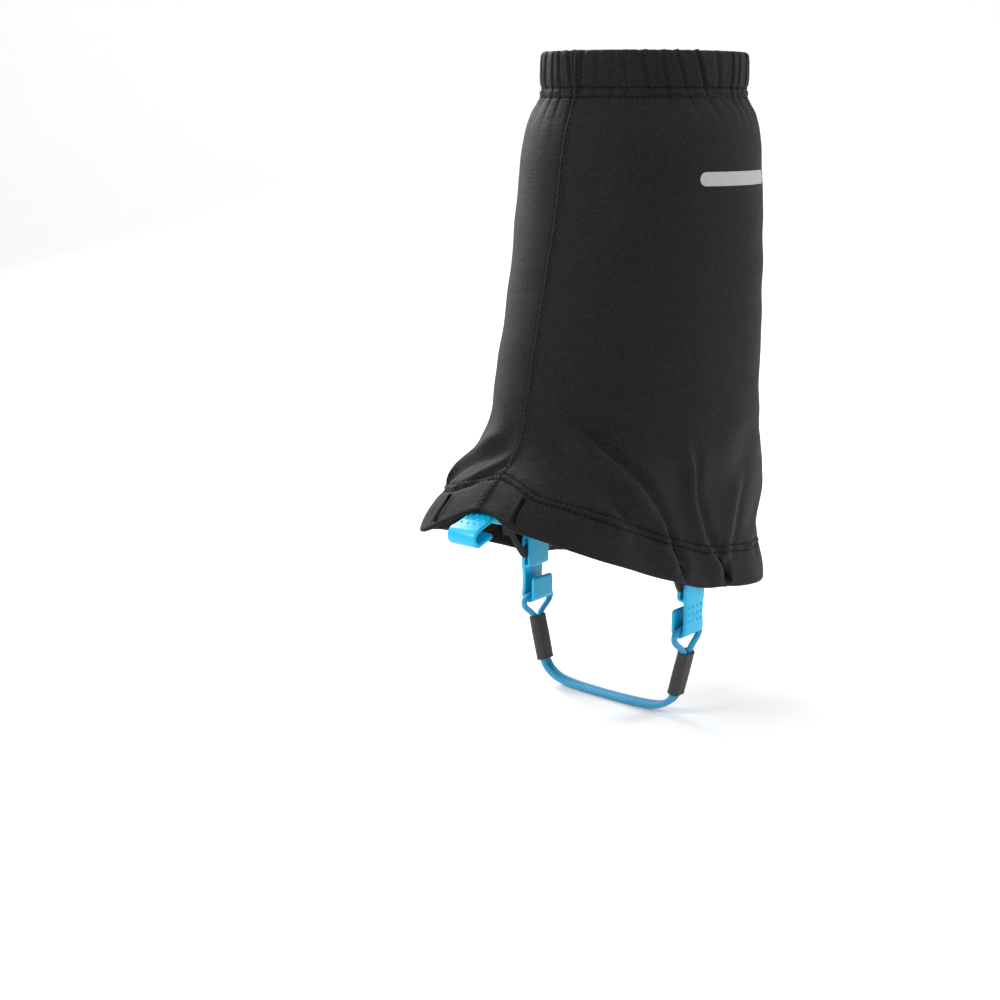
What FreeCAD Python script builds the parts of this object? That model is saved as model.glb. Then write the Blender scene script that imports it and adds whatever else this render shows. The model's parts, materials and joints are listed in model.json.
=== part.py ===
import FreeCAD, Part
import functools
import math
import os

# A low running gaiter for the left foot, in the shape it takes when worn.
# Millimetres. Origin at the centre of the cuff's top opening, +Z up,
# -Y towards the toes, +X towards the wearer's outer (lateral) side.

V = FreeCAD.Vector

# ---- garment grading: 1 is the size that the outline below is drawn for ----
WIDTH_GRADE = 1.0
HEIGHT_GRADE = 1.0

# ---- fabric ----
FABRIC = 0.9                 # one layer of the stretch-woven shell
SEAM_GAP = 0.1               # between the two panels, along the front and rear seams
HEM_FOLD = 19.0              # height of the turned-up hem
CUFF_FOLD = 20.0             # height of the turned-over casing at the cuff
FOLD_ROOM = 0.1              # between a folded layer and the layer it is stitched to

# ---- cuff elastic ----
ELASTIC_WIDTH = 12.0
ELASTIC_THICK = 1.2
ELASTIC_ROOM = 0.2           # clearance all round, inside the casing

# ---- stitching ----
THREAD = 0.5                 # width of a row of stitches
THREAD_PROUD = 0.35
SKIN_GAP = 0.18              # between a thread and the cloth it lies on
CUFF_ROWS = (14.2, 17.7)     # below the cuff's top edge
HEM_ROWS = (18.2, 15.4)      # above the hem's edge
TACK_TALL = 10.5
TACK_WIDE = 1.9
TACK_PROUD = 0.8
TACK_RISE = 8.0              # middle of a bar tack above the hem's edge

# ---- shell outline ----
# height, half width, front, rear, squareness of the horizontal section there
SECTIONS = (
    (0, 40.0, 52.0, 39.5, 2.0),
    (-15, 40.2, 52.6, 39.7, 2.0),
    (-19, 41.2, 53.8, 40.2, 2.0),
    (-24, 44.6, 55.8, 41.4, 2.0),
    (-31, 47.0, 58.4, 42.2, 2.0),
    (-39, 48.2, 60.4, 42.6, 2.0),
    (-53.5, 49.3, 62.6, 42.8, 2.0),
    (-88.5, 50.6, 71.0, 43.2, 1.98),
    (-123.5, 51.2, 79.5, 44.4, 1.98),
    (-146.5, 51.2, 85.0, 45.6, 2.0),
    (-154.5, 50.4, 90.5, 46.2, 2.1),
    (-160.5, 49.4, 97.5, 46.8, 2.3),
    (-166.5, 48.4, 105.0, 47.4, 2.5),
    (-172.5, 47.6, 112.0, 48.2, 2.65),
    (-179.5, 47.2, 118.0, 49.4, 2.7),
    (-198.5, 47.2, 119.0, 52.0, 2.6),
    (-228.5, 47.4, 119.0, 54.5, 2.5),
)
SECTION_CENTRE = -4.0        # where the front and rear halves of a section meet
# angle from the outer side towards the rear, and the hem's drop below the cuff there
HEM_DROP = (
    (-90, 171.7), (-81, 172.9), (-71, 175.9), (-55, 182.0), (-37, 194.0), (-20, 207.5),
    (-5, 217.0), (20, 222.0), (50, 225.0), (90, 224.0),
)
LEVEL_DROP = 217.5           # the same drop, for rows that stay level near the cuff

# ---- tapes and hooks ----
TAPE_TALL = 5.0
TAPE_THICK = 0.9
TAPE_SPAN = 34.0             # between the bar tacks of one tape
TAPE_TAIL = 3.0              # beyond each bar tack
TAPE_GAP = 0.5               # between a tape's ends and the hem's inner face
HOOK_WIDE = 13.5
HOOK_THICK = 1.8
LIP_THICK = 1.5
EYE_HALF_TALL = 6.1
CURL_R = 2.0                 # inside radius of the hook's curl
CURL_DROP = 19.5             # curl centre below the eye centre
LIP_RISE = 8.0
EYE_WALL = 1.4
EYE_ROUND = 2.2
EYE_ROOM = 0.35              # between the tape and the eye's slot, on each face
SLOT_ROUND = 0.5
WAIST = 0.7                  # how far the strap is drawn in on each side
DOT_R = 0.48
DOT_PROUD = 0.45
DOT_ROWS = (-9.9, -12.9, -15.9)
DOT_STEP = 3.0
DOTS_PER_ROW = 4
HEM_TO_EYE = 1.3             # between the hem's inner face and a side hook's eye

STIRRUP_Y = -24.0            # the side hooks and the cord lie in this plane
SIDE_PIVOT_RISE = 1.7        # a side hook's eye centre above the hem's edge
FRONT_PIVOT_DROP = 2.9       # the front hook's eye centre below the hem's edge
FRONT_PIVOT_BACK = 11.8      # and behind it
FRONT_SLOPE = 17.5           # the front hook's strap below the horizontal, at rest

# ---- instep cord ----
CORD_D = 2.8
STRAND_GAP = 0.5             # between the two strands
CORD_SEAT = 0.3              # between the cord and the curl, below it
SLEEVE_WALL = 0.75
SLEEVE_ROOM = 0.25           # around the ferrule
SLEEVE_LONG = 20.0
FERRULE_WALL = 0.3
FERRULE_ROOM = 0.05
FERRULE_LONG = 8.0
END_GAP = 0.2                # between the cord's two ends, inside the ferrule
SLEEVE_TOP_DROP = 11.0       # sleeve's top end below the curl centre
SLEEVE_LEAN = 14.0           # degrees, foot end towards the sole
UNDERFOOT_DROP = 8.3         # underfoot stretch below the sleeves' lower ends

# ---- reflective bar ----
BAR_Z = -49.0
BAR_TALL = 5.5
BAR_THICK = 0.2
BAR_FROM = -26.0             # degrees round the shell
BAR_TO = 24.0

EDGE = 90.0                  # angle of the rear seam; the front seam is at minus this
ROUND_STEPS = 18             # spans from the front seam to the rear seam
RISE_STEPS = 64              # spans from the cuff to the hem

TALL = LEVEL_DROP * HEIGHT_GRADE
DOUBLED = 2 * FABRIC + FOLD_ROOM
STRAND_Y = (CORD_D + STRAND_GAP) / 2
EYE_HALF_DEEP = TAPE_THICK / 2 + EYE_ROOM
EYE_FRONT = EYE_HALF_DEEP + HOOK_THICK
CURL_X = EYE_HALF_DEEP - CURL_R


def smooth(table, x, column=1):
    """Cubic through the rows of a table, flat-ended, read at x."""
    rows = sorted(table)
    x = min(max(x, rows[0][0]), rows[-1][0])
    i = max(k for k in range(len(rows) - 1) if rows[k][0] <= x)
    (xa, ya), (xb, yb) = [(rows[k][0], rows[k][column]) for k in (i, i + 1)]

    def slope(k):
        if k in (0, len(rows) - 1):
            return 0.0
        left = (rows[k][column] - rows[k - 1][column]) / (rows[k][0] - rows[k - 1][0])
        right = (rows[k + 1][column] - rows[k][column]) / (rows[k + 1][0] - rows[k][0])
        return 0.0 if left * right <= 0 else 2 * left * right / (left + right)

    span = xb - xa
    t = (x - xa) / span
    return (ya * (1 + 2 * t) * (1 - t) ** 2 + yb * t * t * (3 - 2 * t)
            + span * (slope(i) * t * (1 - t) ** 2 - slope(i + 1) * t * t * (1 - t)))


def height(angle, share):
    """Height of the shell's row at a share (0 cuff, 1 hem) of the way down.
    The inner side mirrors the outer side."""
    outer = angle
    if angle > EDGE:
        outer = 2 * EDGE - angle
    elif angle < -EDGE:
        outer = -2 * EDGE - angle
    extra = smooth(HEM_DROP, outer) - LEVEL_DROP
    return -HEIGHT_GRADE * (LEVEL_DROP * share + extra * share ** 3)


def outline(angle, z):
    """Point of the shell's outer face at an angle and a height."""
    half, front, rear, power = [smooth(SECTIONS, z / HEIGHT_GRADE, column) for column in (1, 2, 3, 4)]
    c = math.cos(math.radians(angle))
    s = math.sin(math.radians(angle))
    deep = rear - SECTION_CENTRE if s > 0 else front + SECTION_CENTRE
    k = (abs(c) ** power + abs(s) ** power) ** (-1 / power)
    return V(WIDTH_GRADE * half * c * k, WIDTH_GRADE * (SECTION_CENTRE + deep * s * k), z)


def skin(angle, share, depth=0.0):
    """Point of the shell, moved in from the outer face along its normal."""
    here = outline(angle, height(angle, share))
    round_a = outline(angle - 0.5, height(angle - 0.5, share))
    round_b = outline(angle + 0.5, height(angle + 0.5, share))
    low = outline(angle, height(angle, share + 0.004))
    high = outline(angle, height(angle, share - 0.004))
    inward = (round_b - round_a).cross(low - high)
    inward.normalize()
    return here + inward * depth


def share_below_cuff(distance):
    """Row a fixed distance below the cuff's top edge."""
    return lambda angle: distance / TALL


@functools.lru_cache(maxsize=None)
def climb(angle, distance):
    """Share reached by going up the cloth from the hem's edge."""
    step = 0.005
    share = 1.0
    left = distance
    low = outline(angle, height(angle, share))
    while True:
        high = outline(angle, height(angle, share - step))
        span = (high - low).Length
        if left <= span:
            return share - step * left / span
        left -= span
        share -= step
        low = high


def share_above_hem(distance):
    """Row a fixed distance above the hem's edge, measured on the cloth."""
    return lambda angle: climb(angle, distance)


def close(faces):
    """One solid from faces that share their edges."""
    shell = Part.makeShell(faces)
    shell.sewShape(1e-3)
    solid = Part.makeSolid(Part.Shell(shell.Faces))
    if solid.Volume < 0:
        solid.reverse()
    if not solid.isValid():
        raise ValueError("a shell did not close")
    return solid


def cloth(corners, stop=SEAM_GAP / 2):
    """Solid swept round the outer half of the shell from a section drawn in
    (row, depth) corners, and stopped at x = stop at both seams. Each corner
    is (row function, depth); long sides get their own rows of points, short
    sides are ruled."""
    angles = [EDGE * (2 * i / ROUND_STEPS - 1) for i in range(ROUND_STEPS + 1)]

    def place(angle, share, depth):
        point = skin(angle, share, depth)
        if abs(angle) == EDGE:
            point.x = stop
        return point

    def side(a, b):
        (row_a, depth_a), (row_b, depth_b) = a, b
        reach = abs(row_a(0.0) - row_b(0.0))
        if reach * TALL < 3.0:
            return 1
        return max(4, math.ceil(RISE_STEPS * reach))

    count = len(corners)
    long_side = [side(corners[i], corners[(i + 1) % count]) > 1 for i in range(count)]
    faces = []
    firsts = [None] * count
    lasts = [None] * count
    ends = ([], [])
    for i in range(count):
        a, b = corners[i], corners[(i + 1) % count]
        if long_side[i]:
            steps = side(a, b)
            grid = [[place(q, a[0](q) * (1 - j / steps) + b[0](q) * j / steps,
                           a[1] + (b[1] - a[1]) * j / steps)
                     for q in angles] for j in range(steps + 1)]
            face = Part.BSplineSurface()
            face.interpolate(grid)
            u0, u1, v0, v1 = face.bounds()
            faces.append(face.toShape())
            firsts[i] = face.uIso(u0).toShape()
            lasts[i] = face.uIso(u1).toShape()
            ends[0].append(face.vIso(v0).toShape())
            ends[1].append(face.vIso(v1).toShape())
        elif not any(long_side):
            firsts[i] = curve([place(q, a[0](q), a[1]) for q in angles])
    for i in range(count):
        if long_side[i]:
            continue
        first = firsts[i] or lasts[i - 1]
        second = firsts[(i + 1) % count]
        faces.append(Part.makeRuledSurface(first, second))
        for k in (0, 1):
            ends[k].append(Part.makeLine(first.Vertexes[-k].Point, second.Vertexes[-k].Point))
    for edges in ends:
        faces.append(Part.Face(Part.Wire(Part.__sortEdges__(edges))))
    return close(faces)


def curve(points):
    line = Part.BSplineCurve()
    line.interpolate(points)
    return line.toShape()


def mirrored(shape):
    return shape.mirror(V(0, 0, 0), V(1, 0, 0))


def both(shape):
    """A half of the shell with its mirror image, as two solids of one node."""
    return Part.makeCompound([shape, mirrored(shape)])


# ---- shell ----
def row_at(share):
    return lambda angle: share


def panel():
    """Half of the shell: one layer, turned over the elastic at the cuff and
    turned up at the hem, as one closed section carried round the leg."""
    layer = FABRIC
    room = ELASTIC_THICK + 2 * ELASTIC_ROOM
    cuff_end = share_below_cuff(CUFF_FOLD)
    fold_top = share_below_cuff(layer)
    hem_top = share_above_hem(HEM_FOLD)
    return cloth([
        (row_at(0.0), 0.0), (row_at(1.0), 0.0),
        (row_at(1.0), DOUBLED), (hem_top, DOUBLED),
        (hem_top, layer), (fold_top, layer),
        (fold_top, layer + room), (cuff_end, layer + room),
        (cuff_end, 2 * layer + room), (row_at(0.0), 2 * layer + room),
    ])


def elastic():
    """Closed band inside the casing."""
    top = FABRIC + ELASTIC_ROOM
    upper = share_below_cuff(top)
    lower = share_below_cuff(top + ELASTIC_WIDTH)
    back = top + ELASTIC_THICK
    half = cloth([(upper, top), (lower, top), (lower, back), (upper, back)], 0.0)
    return half.fuse(mirrored(half)).Solids[0]


def stitch_row(row):
    """One row of thread on the outer face, right round the leg."""
    wide = THREAD / TALL
    inner = -SKIN_GAP
    outer = inner - THREAD_PROUD

    def lower(angle):
        return row(angle) + wide
    return both(cloth([(row, outer), (lower, outer), (lower, inner), (row, inner)], THREAD + SKIN_GAP))


def seam_thread(angle):
    """Thread down the front (-90) or rear (90) seam, over the panels' edges."""
    steps = 30
    first = 0.9 / TALL
    last = 1.0 - 1.0 / TALL
    corners = []
    for depth in (-SKIN_GAP - THREAD_PROUD, -SKIN_GAP):
        for x in (-THREAD, THREAD):
            points = []
            for j in range(steps + 1):
                point = skin(angle, first + (last - first) * j / steps, depth)
                points.append(V(x, point.y, point.z))
            corners.append(points)
    a, b, c, d = corners
    return ribbon([a, b, d, c])


def ribbon(lines):
    """Solid between four long lines of points, given in order round its section."""
    edges = [curve(points) for points in lines]
    faces = [Part.makeRuledSurface(edges[i], edges[(i + 1) % 4]) for i in range(4)]
    for k in (0, -1):
        a, b, c, d = [points[k] for points in lines]
        faces.append(Part.makeRuledSurface(Part.makeLine(a, b), Part.makeLine(d, c)))
    return close(faces)


# ---- tapes ----
def angle_at(share, along, value, start, end):
    """Angle at which the shell's row reaches a coordinate, between two angles."""
    for _ in range(50):
        middle = (start + end) / 2
        if getattr(skin(middle, share), along) < value:
            start = middle
        else:
            end = middle
    return (start + end) / 2


def tack(angle):
    """Bar tack on the hem's outer face, upright."""
    half_share = TACK_TALL / 2
    upper = share_above_hem(TACK_RISE + half_share)
    lower = share_above_hem(TACK_RISE - half_share)
    reach = (skin(angle + 1, 1.0) - skin(angle, 1.0)).Length
    half_angle = TACK_WIDE / 2 / reach
    inner = -SKIN_GAP
    outer = inner - TACK_PROUD
    lines = []
    for side_angle, depth in ((angle - half_angle, outer), (angle + half_angle, outer),
                              (angle + half_angle, inner), (angle - half_angle, inner)):
        steps = 4
        lines.append([skin(side_angle, upper(angle) + (lower(angle) - upper(angle)) * j / steps, depth)
                      for j in range(steps + 1)])
    return ribbon(lines)


def tape(tack_angles, tail_angles, middle, along, down):
    """Webbing behind the hem: held at both tacks, straight through the hook's
    eye at its middle. along is its direction there and down its width."""
    depth = DOUBLED + TAPE_GAP + TAPE_THICK / 2
    hold = share_above_hem(TACK_RISE - 1.0)
    stations = []
    for angle in (tail_angles[0], tack_angles[0]):
        stations.append(held(angle, hold(angle), depth))
    for shift in (-0.65, -0.3, 0.0, 0.3, 0.65):
        stations.append((middle + along * (shift * HOOK_WIDE), down, down.cross(along)))
    for angle in (tack_angles[1], tail_angles[1]):
        stations.append(held(angle, hold(angle), depth))
    lines = []
    for wide, thick in ((-1, -1), (1, -1), (1, 1), (-1, 1)):
        lines.append([centre + across * (wide * TAPE_TALL / 2) + normal * (thick * TAPE_THICK / 2)
                      for centre, across, normal in stations])
    return ribbon(lines)


def held(angle, share, depth):
    """Centre, width direction and normal of a tape where it lies on the hem."""
    centre = skin(angle, share, depth)
    across = skin(angle, share + 0.01, depth) - skin(angle, share - 0.01, depth)
    across.normalize()
    normal = skin(angle, share, depth - 1.0) - centre
    normal.normalize()
    return centre, across, normal


# ---- hooks ----
def box(low, high, wide=HOOK_WIDE):
    """Block in hook space: x out of the strap's face, y its width, z along it."""
    return Part.makeBox(high[0] - low[0], wide, high[1] - low[1], V(low[0], -wide / 2, low[1]))


def rounded(low, high, radius):
    block = box(low, high)
    edges = [e for e in block.Edges if abs(e.tangentAt(0).y) > 0.9]
    return block.makeFillet(radius, edges)


def rod(radius, wide, centre):
    return Part.makeCylinder(radius, wide, V(centre[0], -wide / 2, centre[1]), V(0, 1, 0))


def hook():
    """One moulding: eye at the origin, strap hanging down, curl turned to the back."""
    lip_front = CURL_X - CURL_R
    lip_back = lip_front - LIP_THICK
    eye_bottom = -EYE_HALF_TALL - EYE_WALL
    eye = rounded((-EYE_HALF_DEEP - LIP_THICK, eye_bottom), (EYE_FRONT, -eye_bottom), EYE_ROUND)
    strap = box((EYE_HALF_DEEP, -CURL_DROP), (EYE_FRONT, eye_bottom + EYE_ROUND))
    curl = rod(CURL_R + HOOK_THICK, HOOK_WIDE, (CURL_X, -CURL_DROP))
    curl = curl.cut(box((2 * lip_back, -CURL_DROP), (2 * EYE_FRONT, 0), 2 * HOOK_WIDE))
    trim = box((2 * lip_back, -2 * CURL_DROP), (lip_back, 0), 2 * HOOK_WIDE)
    lip_top = -CURL_DROP + LIP_RISE
    lip = box((lip_back, -CURL_DROP), (lip_front, lip_top - LIP_THICK / 2))
    bead = rod(LIP_THICK / 2, HOOK_WIDE, ((lip_back + lip_front) / 2, lip_top - LIP_THICK / 2))
    solid = eye.fuse([strap, curl.cut(trim), lip, bead])
    slot = rounded((-EYE_HALF_DEEP, -EYE_HALF_TALL), (EYE_HALF_DEEP, EYE_HALF_TALL), SLOT_ROUND)
    solid = solid.cut(slot).cut(rod(CURL_R, 2 * HOOK_WIDE, (CURL_X, -CURL_DROP)))
    waist_tall = CURL_DROP - EYE_HALF_TALL
    waist_r = (waist_tall ** 2 / 4 + WAIST ** 2) / (2 * WAIST)
    for sign in (-1, 1):
        y = sign * (HOOK_WIDE / 2 - WAIST + waist_r)
        z = (eye_bottom - CURL_DROP) / 2
        bite = Part.makeCylinder(waist_r, 2 * EYE_FRONT, V(EYE_HALF_DEEP - 0.1, y, z), V(1, 0, 0))
        solid = solid.cut(bite)
    dots = []
    for z in DOT_ROWS:
        for i in range(DOTS_PER_ROW):
            y = (i - (DOTS_PER_ROW - 1) / 2) * DOT_STEP
            root = V(EYE_FRONT - DOT_PROUD, y, z)
            dots.append(Part.makeCone(DOT_R, DOT_R * 0.7, 2 * DOT_PROUD, root, V(1, 0, 0)))
    return solid.fuse(dots).removeSplitter().Solids[0]


def side_pivot():
    """Eye centre of the lateral hook: a fixed gap inside the hem."""
    angle = angle_at(1.0, "y", STIRRUP_Y, -60, 60)
    inner = skin(angle, share_above_hem(EYE_HALF_TALL)(angle), DOUBLED).x
    return V(inner - HEM_TO_EYE - EYE_FRONT, STIRRUP_Y, skin(angle, 1.0).z + SIDE_PIVOT_RISE)


def front_pivot():
    """Eye centre of the front hook, under the hem's front edge."""
    edge = skin(-EDGE, 1.0)
    return V(0, edge.y + FRONT_PIVOT_BACK, edge.z - FRONT_PIVOT_DROP)


def side_hook():
    shape = hook()
    shape.translate(side_pivot())
    return shape


def front_hook():
    shape = hook()
    shape.rotate(V(0, 0, 0), V(0, 0, 1), -90)
    shape.rotate(V(0, 0, 0), V(1, 0, 0), -(90 - FRONT_SLOPE))
    shape.translate(front_pivot())
    return shape


# ---- cord ----
def curl_centre():
    return side_pivot() + V(CURL_X, 0, -CURL_DROP)


def sleeve_ends():
    """Top and bottom of the lateral sleeve's axis."""
    lean = math.radians(SLEEVE_LEAN)
    top = curl_centre() - V(0, 0, SLEEVE_TOP_DROP)
    return top, top - V(math.sin(lean), 0, math.cos(lean)) * SLEEVE_LONG


def half_route():
    """Points of the lateral half of the loop: front strand up, rear strand down."""
    top, bottom = sleeve_ends()
    axis = top - bottom
    axis.normalize()
    cord_z = curl_centre().z - (CURL_R - CORD_D / 2 - CORD_SEAT)
    under_z = bottom.z - UNDERFOOT_DROP
    end = HOOK_WIDE / 2
    leave = bottom - axis * 2.6
    enter = top - axis * 2.0
    part_at = top + axis * 1.0
    points = (
        (8.0, STRAND_Y, under_z - 0.6),
        (bottom.x - 12.5, STRAND_Y, under_z),
        (bottom.x - 5.8, STRAND_Y, under_z + 1.6),
        (leave.x, STRAND_Y, leave.z),
        (enter.x, STRAND_Y, enter.z),
        (part_at.x, STRAND_Y + 0.7, part_at.z),
        (top.x, end + 3.35, cord_z - 4.4),
        (top.x, end + 1.35, cord_z),
    )
    front = [V(x, STIRRUP_Y - y, z) for x, y, z in points]
    rear = [V(x, STIRRUP_Y + y, z) for x, y, z in reversed(points)]
    return front + rear


def joint_point():
    """Where the cord's two ends meet: halfway along the medial sleeve."""
    top, bottom = sleeve_ends()
    middle = (top + bottom) * 0.5
    return V(-middle.x, STIRRUP_Y - STRAND_Y, middle.z)


def route():
    """The cord's points, from the ferrule up, once round and back to the ferrule."""
    lateral = half_route()
    medial = [V(-p.x, p.y, p.z) for p in lateral]
    top, bottom = sleeve_ends()
    up = V(bottom.x - top.x, 0, top.z - bottom.z)
    up.normalize()
    start = joint_point() + up * END_GAP / 2
    finish = joint_point() - up * END_GAP / 2
    return [start] + medial[4:] + lateral[::-1] + medial[:4] + [finish]


def tube(points, diameter):
    """Straight runs joined by tangent arcs, each as large as its two runs allow."""
    edges = []
    radii = []
    at = points[0]
    for before, corner, after in zip(points, points[1:], points[2:]):
        back = before - corner
        on = after - corner
        reach = 0.45 * min(back.Length, on.Length)
        half_turn = (math.pi - back.getAngle(on)) / 2
        radii.append(reach / math.tan(half_turn))
        back.normalize()
        on.normalize()
        first = corner + back * reach
        last = corner + on * reach
        bisector = back + on
        bisector.normalize()
        middle = corner + bisector * (radii[-1] / math.cos(half_turn) - radii[-1])
        edges.append(Part.LineSegment(at, first).toShape())
        edges.append(Part.Arc(first, middle, last).toShape())
        at = last
    edges.append(Part.LineSegment(at, points[-1]).toShape())
    path = Part.Wire(edges)
    circle = Part.Circle(points[0], points[1] - points[0], diameter / 2)
    section = Part.Wire(circle.toShape())
    solid = path.makePipeShell([section], True, True)
    expected = math.pi * diameter ** 2 / 4 * path.Length
    print("cord radii, mm:", [round(r, 1) for r in radii])
    print("cord length, mm:", round(path.Length, 1))
    print("cord volume over expected:", round(solid.Volume / expected, 4))
    return solid


def stadium(half_long, radius, tall):
    """Upright slot-shaped block, long along y."""
    block = Part.makeBox(2 * radius, 2 * half_long, tall, V(-radius, -half_long, 0))
    ends = [Part.makeCylinder(radius, tall, V(0, y, 0)) for y in (-half_long, half_long)]
    return block.fuse(ends).removeSplitter().Solids[0]


def sleeve():
    """Flat-oval tube over both strands, with room for the ferrule."""
    inner = CORD_D / 2 + FERRULE_ROOM + FERRULE_WALL + SLEEVE_ROOM
    shape = stadium(STRAND_Y, inner + SLEEVE_WALL, SLEEVE_LONG).cut(stadium(STRAND_Y, inner, SLEEVE_LONG))
    shape.rotate(V(0, 0, 0), V(0, 1, 0), SLEEVE_LEAN)
    shape.translate(sleeve_ends()[1])
    return shape.Solids[0]


def ferrule():
    inner = CORD_D / 2 + FERRULE_ROOM
    shape = Part.makeCylinder(inner + FERRULE_WALL, FERRULE_LONG, V(0, 0, -FERRULE_LONG / 2))
    shape = shape.cut(Part.makeCylinder(inner, FERRULE_LONG, V(0, 0, -FERRULE_LONG / 2)))
    shape.rotate(V(0, 0, 0), V(0, 1, 0), -SLEEVE_LEAN)
    shape.translate(joint_point())
    return shape


# ---- reflective bar ----
def reflective_bar():
    inner = -SKIN_GAP
    outer = inner - BAR_THICK
    steps = 8
    angles = [BAR_FROM + (BAR_TO - BAR_FROM) * i / steps for i in range(steps + 1)]
    upper = (-BAR_Z - BAR_TALL / 2) / TALL
    lower = (-BAR_Z + BAR_TALL / 2) / TALL
    return ribbon([[skin(angle, share, depth) for angle in angles]
                   for share, depth in ((upper, outer), (lower, outer), (lower, inner), (upper, inner))])


def build():
    half = TAPE_SPAN / 2
    front_tacks = [angle_at(1.0, "x", x, -179, -1) for x in (-half, half)]
    front_tails = [angle_at(1.0, "x", x, -179, -1) for x in (-half - TAPE_TAIL, half + TAPE_TAIL)]
    side_tacks = [angle_at(1.0, "y", STIRRUP_Y + y, -89, 89) for y in (-half, half)]
    side_tails = [angle_at(1.0, "y", STIRRUP_Y + y, -89, 89)
                  for y in (-half - TAPE_TAIL, half + TAPE_TAIL)]
    slope = math.radians(FRONT_SLOPE)
    front_down = V(0, -math.cos(slope), -math.sin(slope))
    front_tape = tape(front_tacks, front_tails, front_pivot(), V(1, 0, 0), front_down)
    side_tape = tape(side_tacks, side_tails, side_pivot(), V(0, 1, 0), V(0, 0, -1))
    side_tack_pair = Part.makeCompound([tack(angle) for angle in side_tacks])
    half_shell = panel()
    return {
        "lateral_panel": half_shell,
        "medial_panel": mirrored(half_shell),
        "cuff_elastic": elastic(),
        "front_seam_thread": seam_thread(-EDGE),
        "rear_seam_thread": seam_thread(EDGE),
        "cuff_stitch_upper": stitch_row(share_below_cuff(CUFF_ROWS[0])),
        "cuff_stitch_lower": stitch_row(share_below_cuff(CUFF_ROWS[1])),
        "hem_stitch_upper": stitch_row(share_above_hem(HEM_ROWS[0])),
        "hem_stitch_lower": stitch_row(share_above_hem(HEM_ROWS[1])),
        "front_tape": front_tape,
        "lateral_tape": side_tape,
        "medial_tape": mirrored(side_tape),
        "front_bar_tacks": Part.makeCompound([tack(angle) for angle in front_tacks]),
        "lateral_bar_tacks": side_tack_pair,
        "medial_bar_tacks": mirrored(side_tack_pair),
        "front_hook": front_hook(),
        "lateral_hook": side_hook(),
        "medial_hook": mirrored(side_hook()),
        "instep_cord": tube(route(), CORD_D),
        "cord_ferrule": ferrule(),
        "lateral_sleeve": sleeve(),
        "medial_sleeve": mirrored(sleeve()),
        "reflective_bar": reflective_bar(),
    }


def main():
    os.makedirs("parts", exist_ok=True)
    for name, shape in build().items():
        if not shape.isValid():
            raise ValueError(name + " is not valid")
        shape.exportStep("parts/" + name + ".step")
        print(name, len(shape.Solids), "solids,", round(shape.Volume, 1), "mm3")


main()
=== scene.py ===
import json
import math

import bmesh
import bpy
import numpy as np
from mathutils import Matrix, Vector


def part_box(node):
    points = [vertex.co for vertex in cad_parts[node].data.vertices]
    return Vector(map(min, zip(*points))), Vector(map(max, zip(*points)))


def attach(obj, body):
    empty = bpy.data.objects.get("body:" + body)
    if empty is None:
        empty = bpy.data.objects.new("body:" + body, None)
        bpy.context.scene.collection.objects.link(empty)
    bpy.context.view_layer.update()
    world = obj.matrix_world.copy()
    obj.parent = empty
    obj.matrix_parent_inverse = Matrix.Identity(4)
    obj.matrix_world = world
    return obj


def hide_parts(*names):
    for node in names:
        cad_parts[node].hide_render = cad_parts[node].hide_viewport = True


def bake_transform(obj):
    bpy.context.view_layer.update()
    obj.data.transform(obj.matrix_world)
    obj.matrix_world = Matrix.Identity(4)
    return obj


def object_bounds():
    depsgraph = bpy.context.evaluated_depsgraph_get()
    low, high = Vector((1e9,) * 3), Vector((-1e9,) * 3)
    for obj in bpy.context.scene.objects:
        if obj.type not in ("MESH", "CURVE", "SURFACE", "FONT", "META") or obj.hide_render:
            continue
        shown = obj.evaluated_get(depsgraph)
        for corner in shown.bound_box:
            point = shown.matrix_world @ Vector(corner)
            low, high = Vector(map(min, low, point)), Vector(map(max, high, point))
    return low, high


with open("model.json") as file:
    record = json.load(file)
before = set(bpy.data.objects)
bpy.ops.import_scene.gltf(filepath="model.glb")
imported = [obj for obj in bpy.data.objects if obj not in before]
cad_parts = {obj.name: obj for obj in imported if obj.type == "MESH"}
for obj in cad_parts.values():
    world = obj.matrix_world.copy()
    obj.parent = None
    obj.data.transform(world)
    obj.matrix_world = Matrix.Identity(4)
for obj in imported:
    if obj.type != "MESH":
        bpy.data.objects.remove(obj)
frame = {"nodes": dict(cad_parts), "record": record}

cad_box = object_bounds()

MM = 0.001
RNG = np.random.default_rng(7)

# ---------------------------------------------------------------- shell shape
# height, half width, front, rear, squareness of the level section (mm)
SECTIONS = np.array((
    (0, 40.0, 52.0, 39.5, 2.0),
    (-15, 40.2, 52.6, 39.7, 2.0),
    (-19, 41.2, 53.8, 40.2, 2.0),
    (-24, 44.6, 55.8, 41.4, 2.0),
    (-31, 47.0, 58.4, 42.2, 2.0),
    (-39, 48.2, 60.4, 42.6, 2.0),
    (-53.5, 49.3, 62.6, 42.8, 2.0),
    (-88.5, 50.6, 71.0, 43.2, 1.98),
    (-123.5, 51.2, 79.5, 44.4, 1.98),
    (-146.5, 51.2, 85.0, 45.6, 2.0),
    (-154.5, 50.4, 90.5, 46.2, 2.1),
    (-160.5, 49.4, 97.5, 46.8, 2.3),
    (-166.5, 48.4, 105.0, 47.4, 2.5),
    (-172.5, 47.6, 112.0, 48.2, 2.65),
    (-179.5, 47.2, 118.0, 49.4, 2.7),
    (-198.5, 47.2, 119.0, 52.0, 2.6),
    (-228.5, 47.4, 119.0, 54.5, 2.5),
))
CENTRE_Y = -4.0
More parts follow.
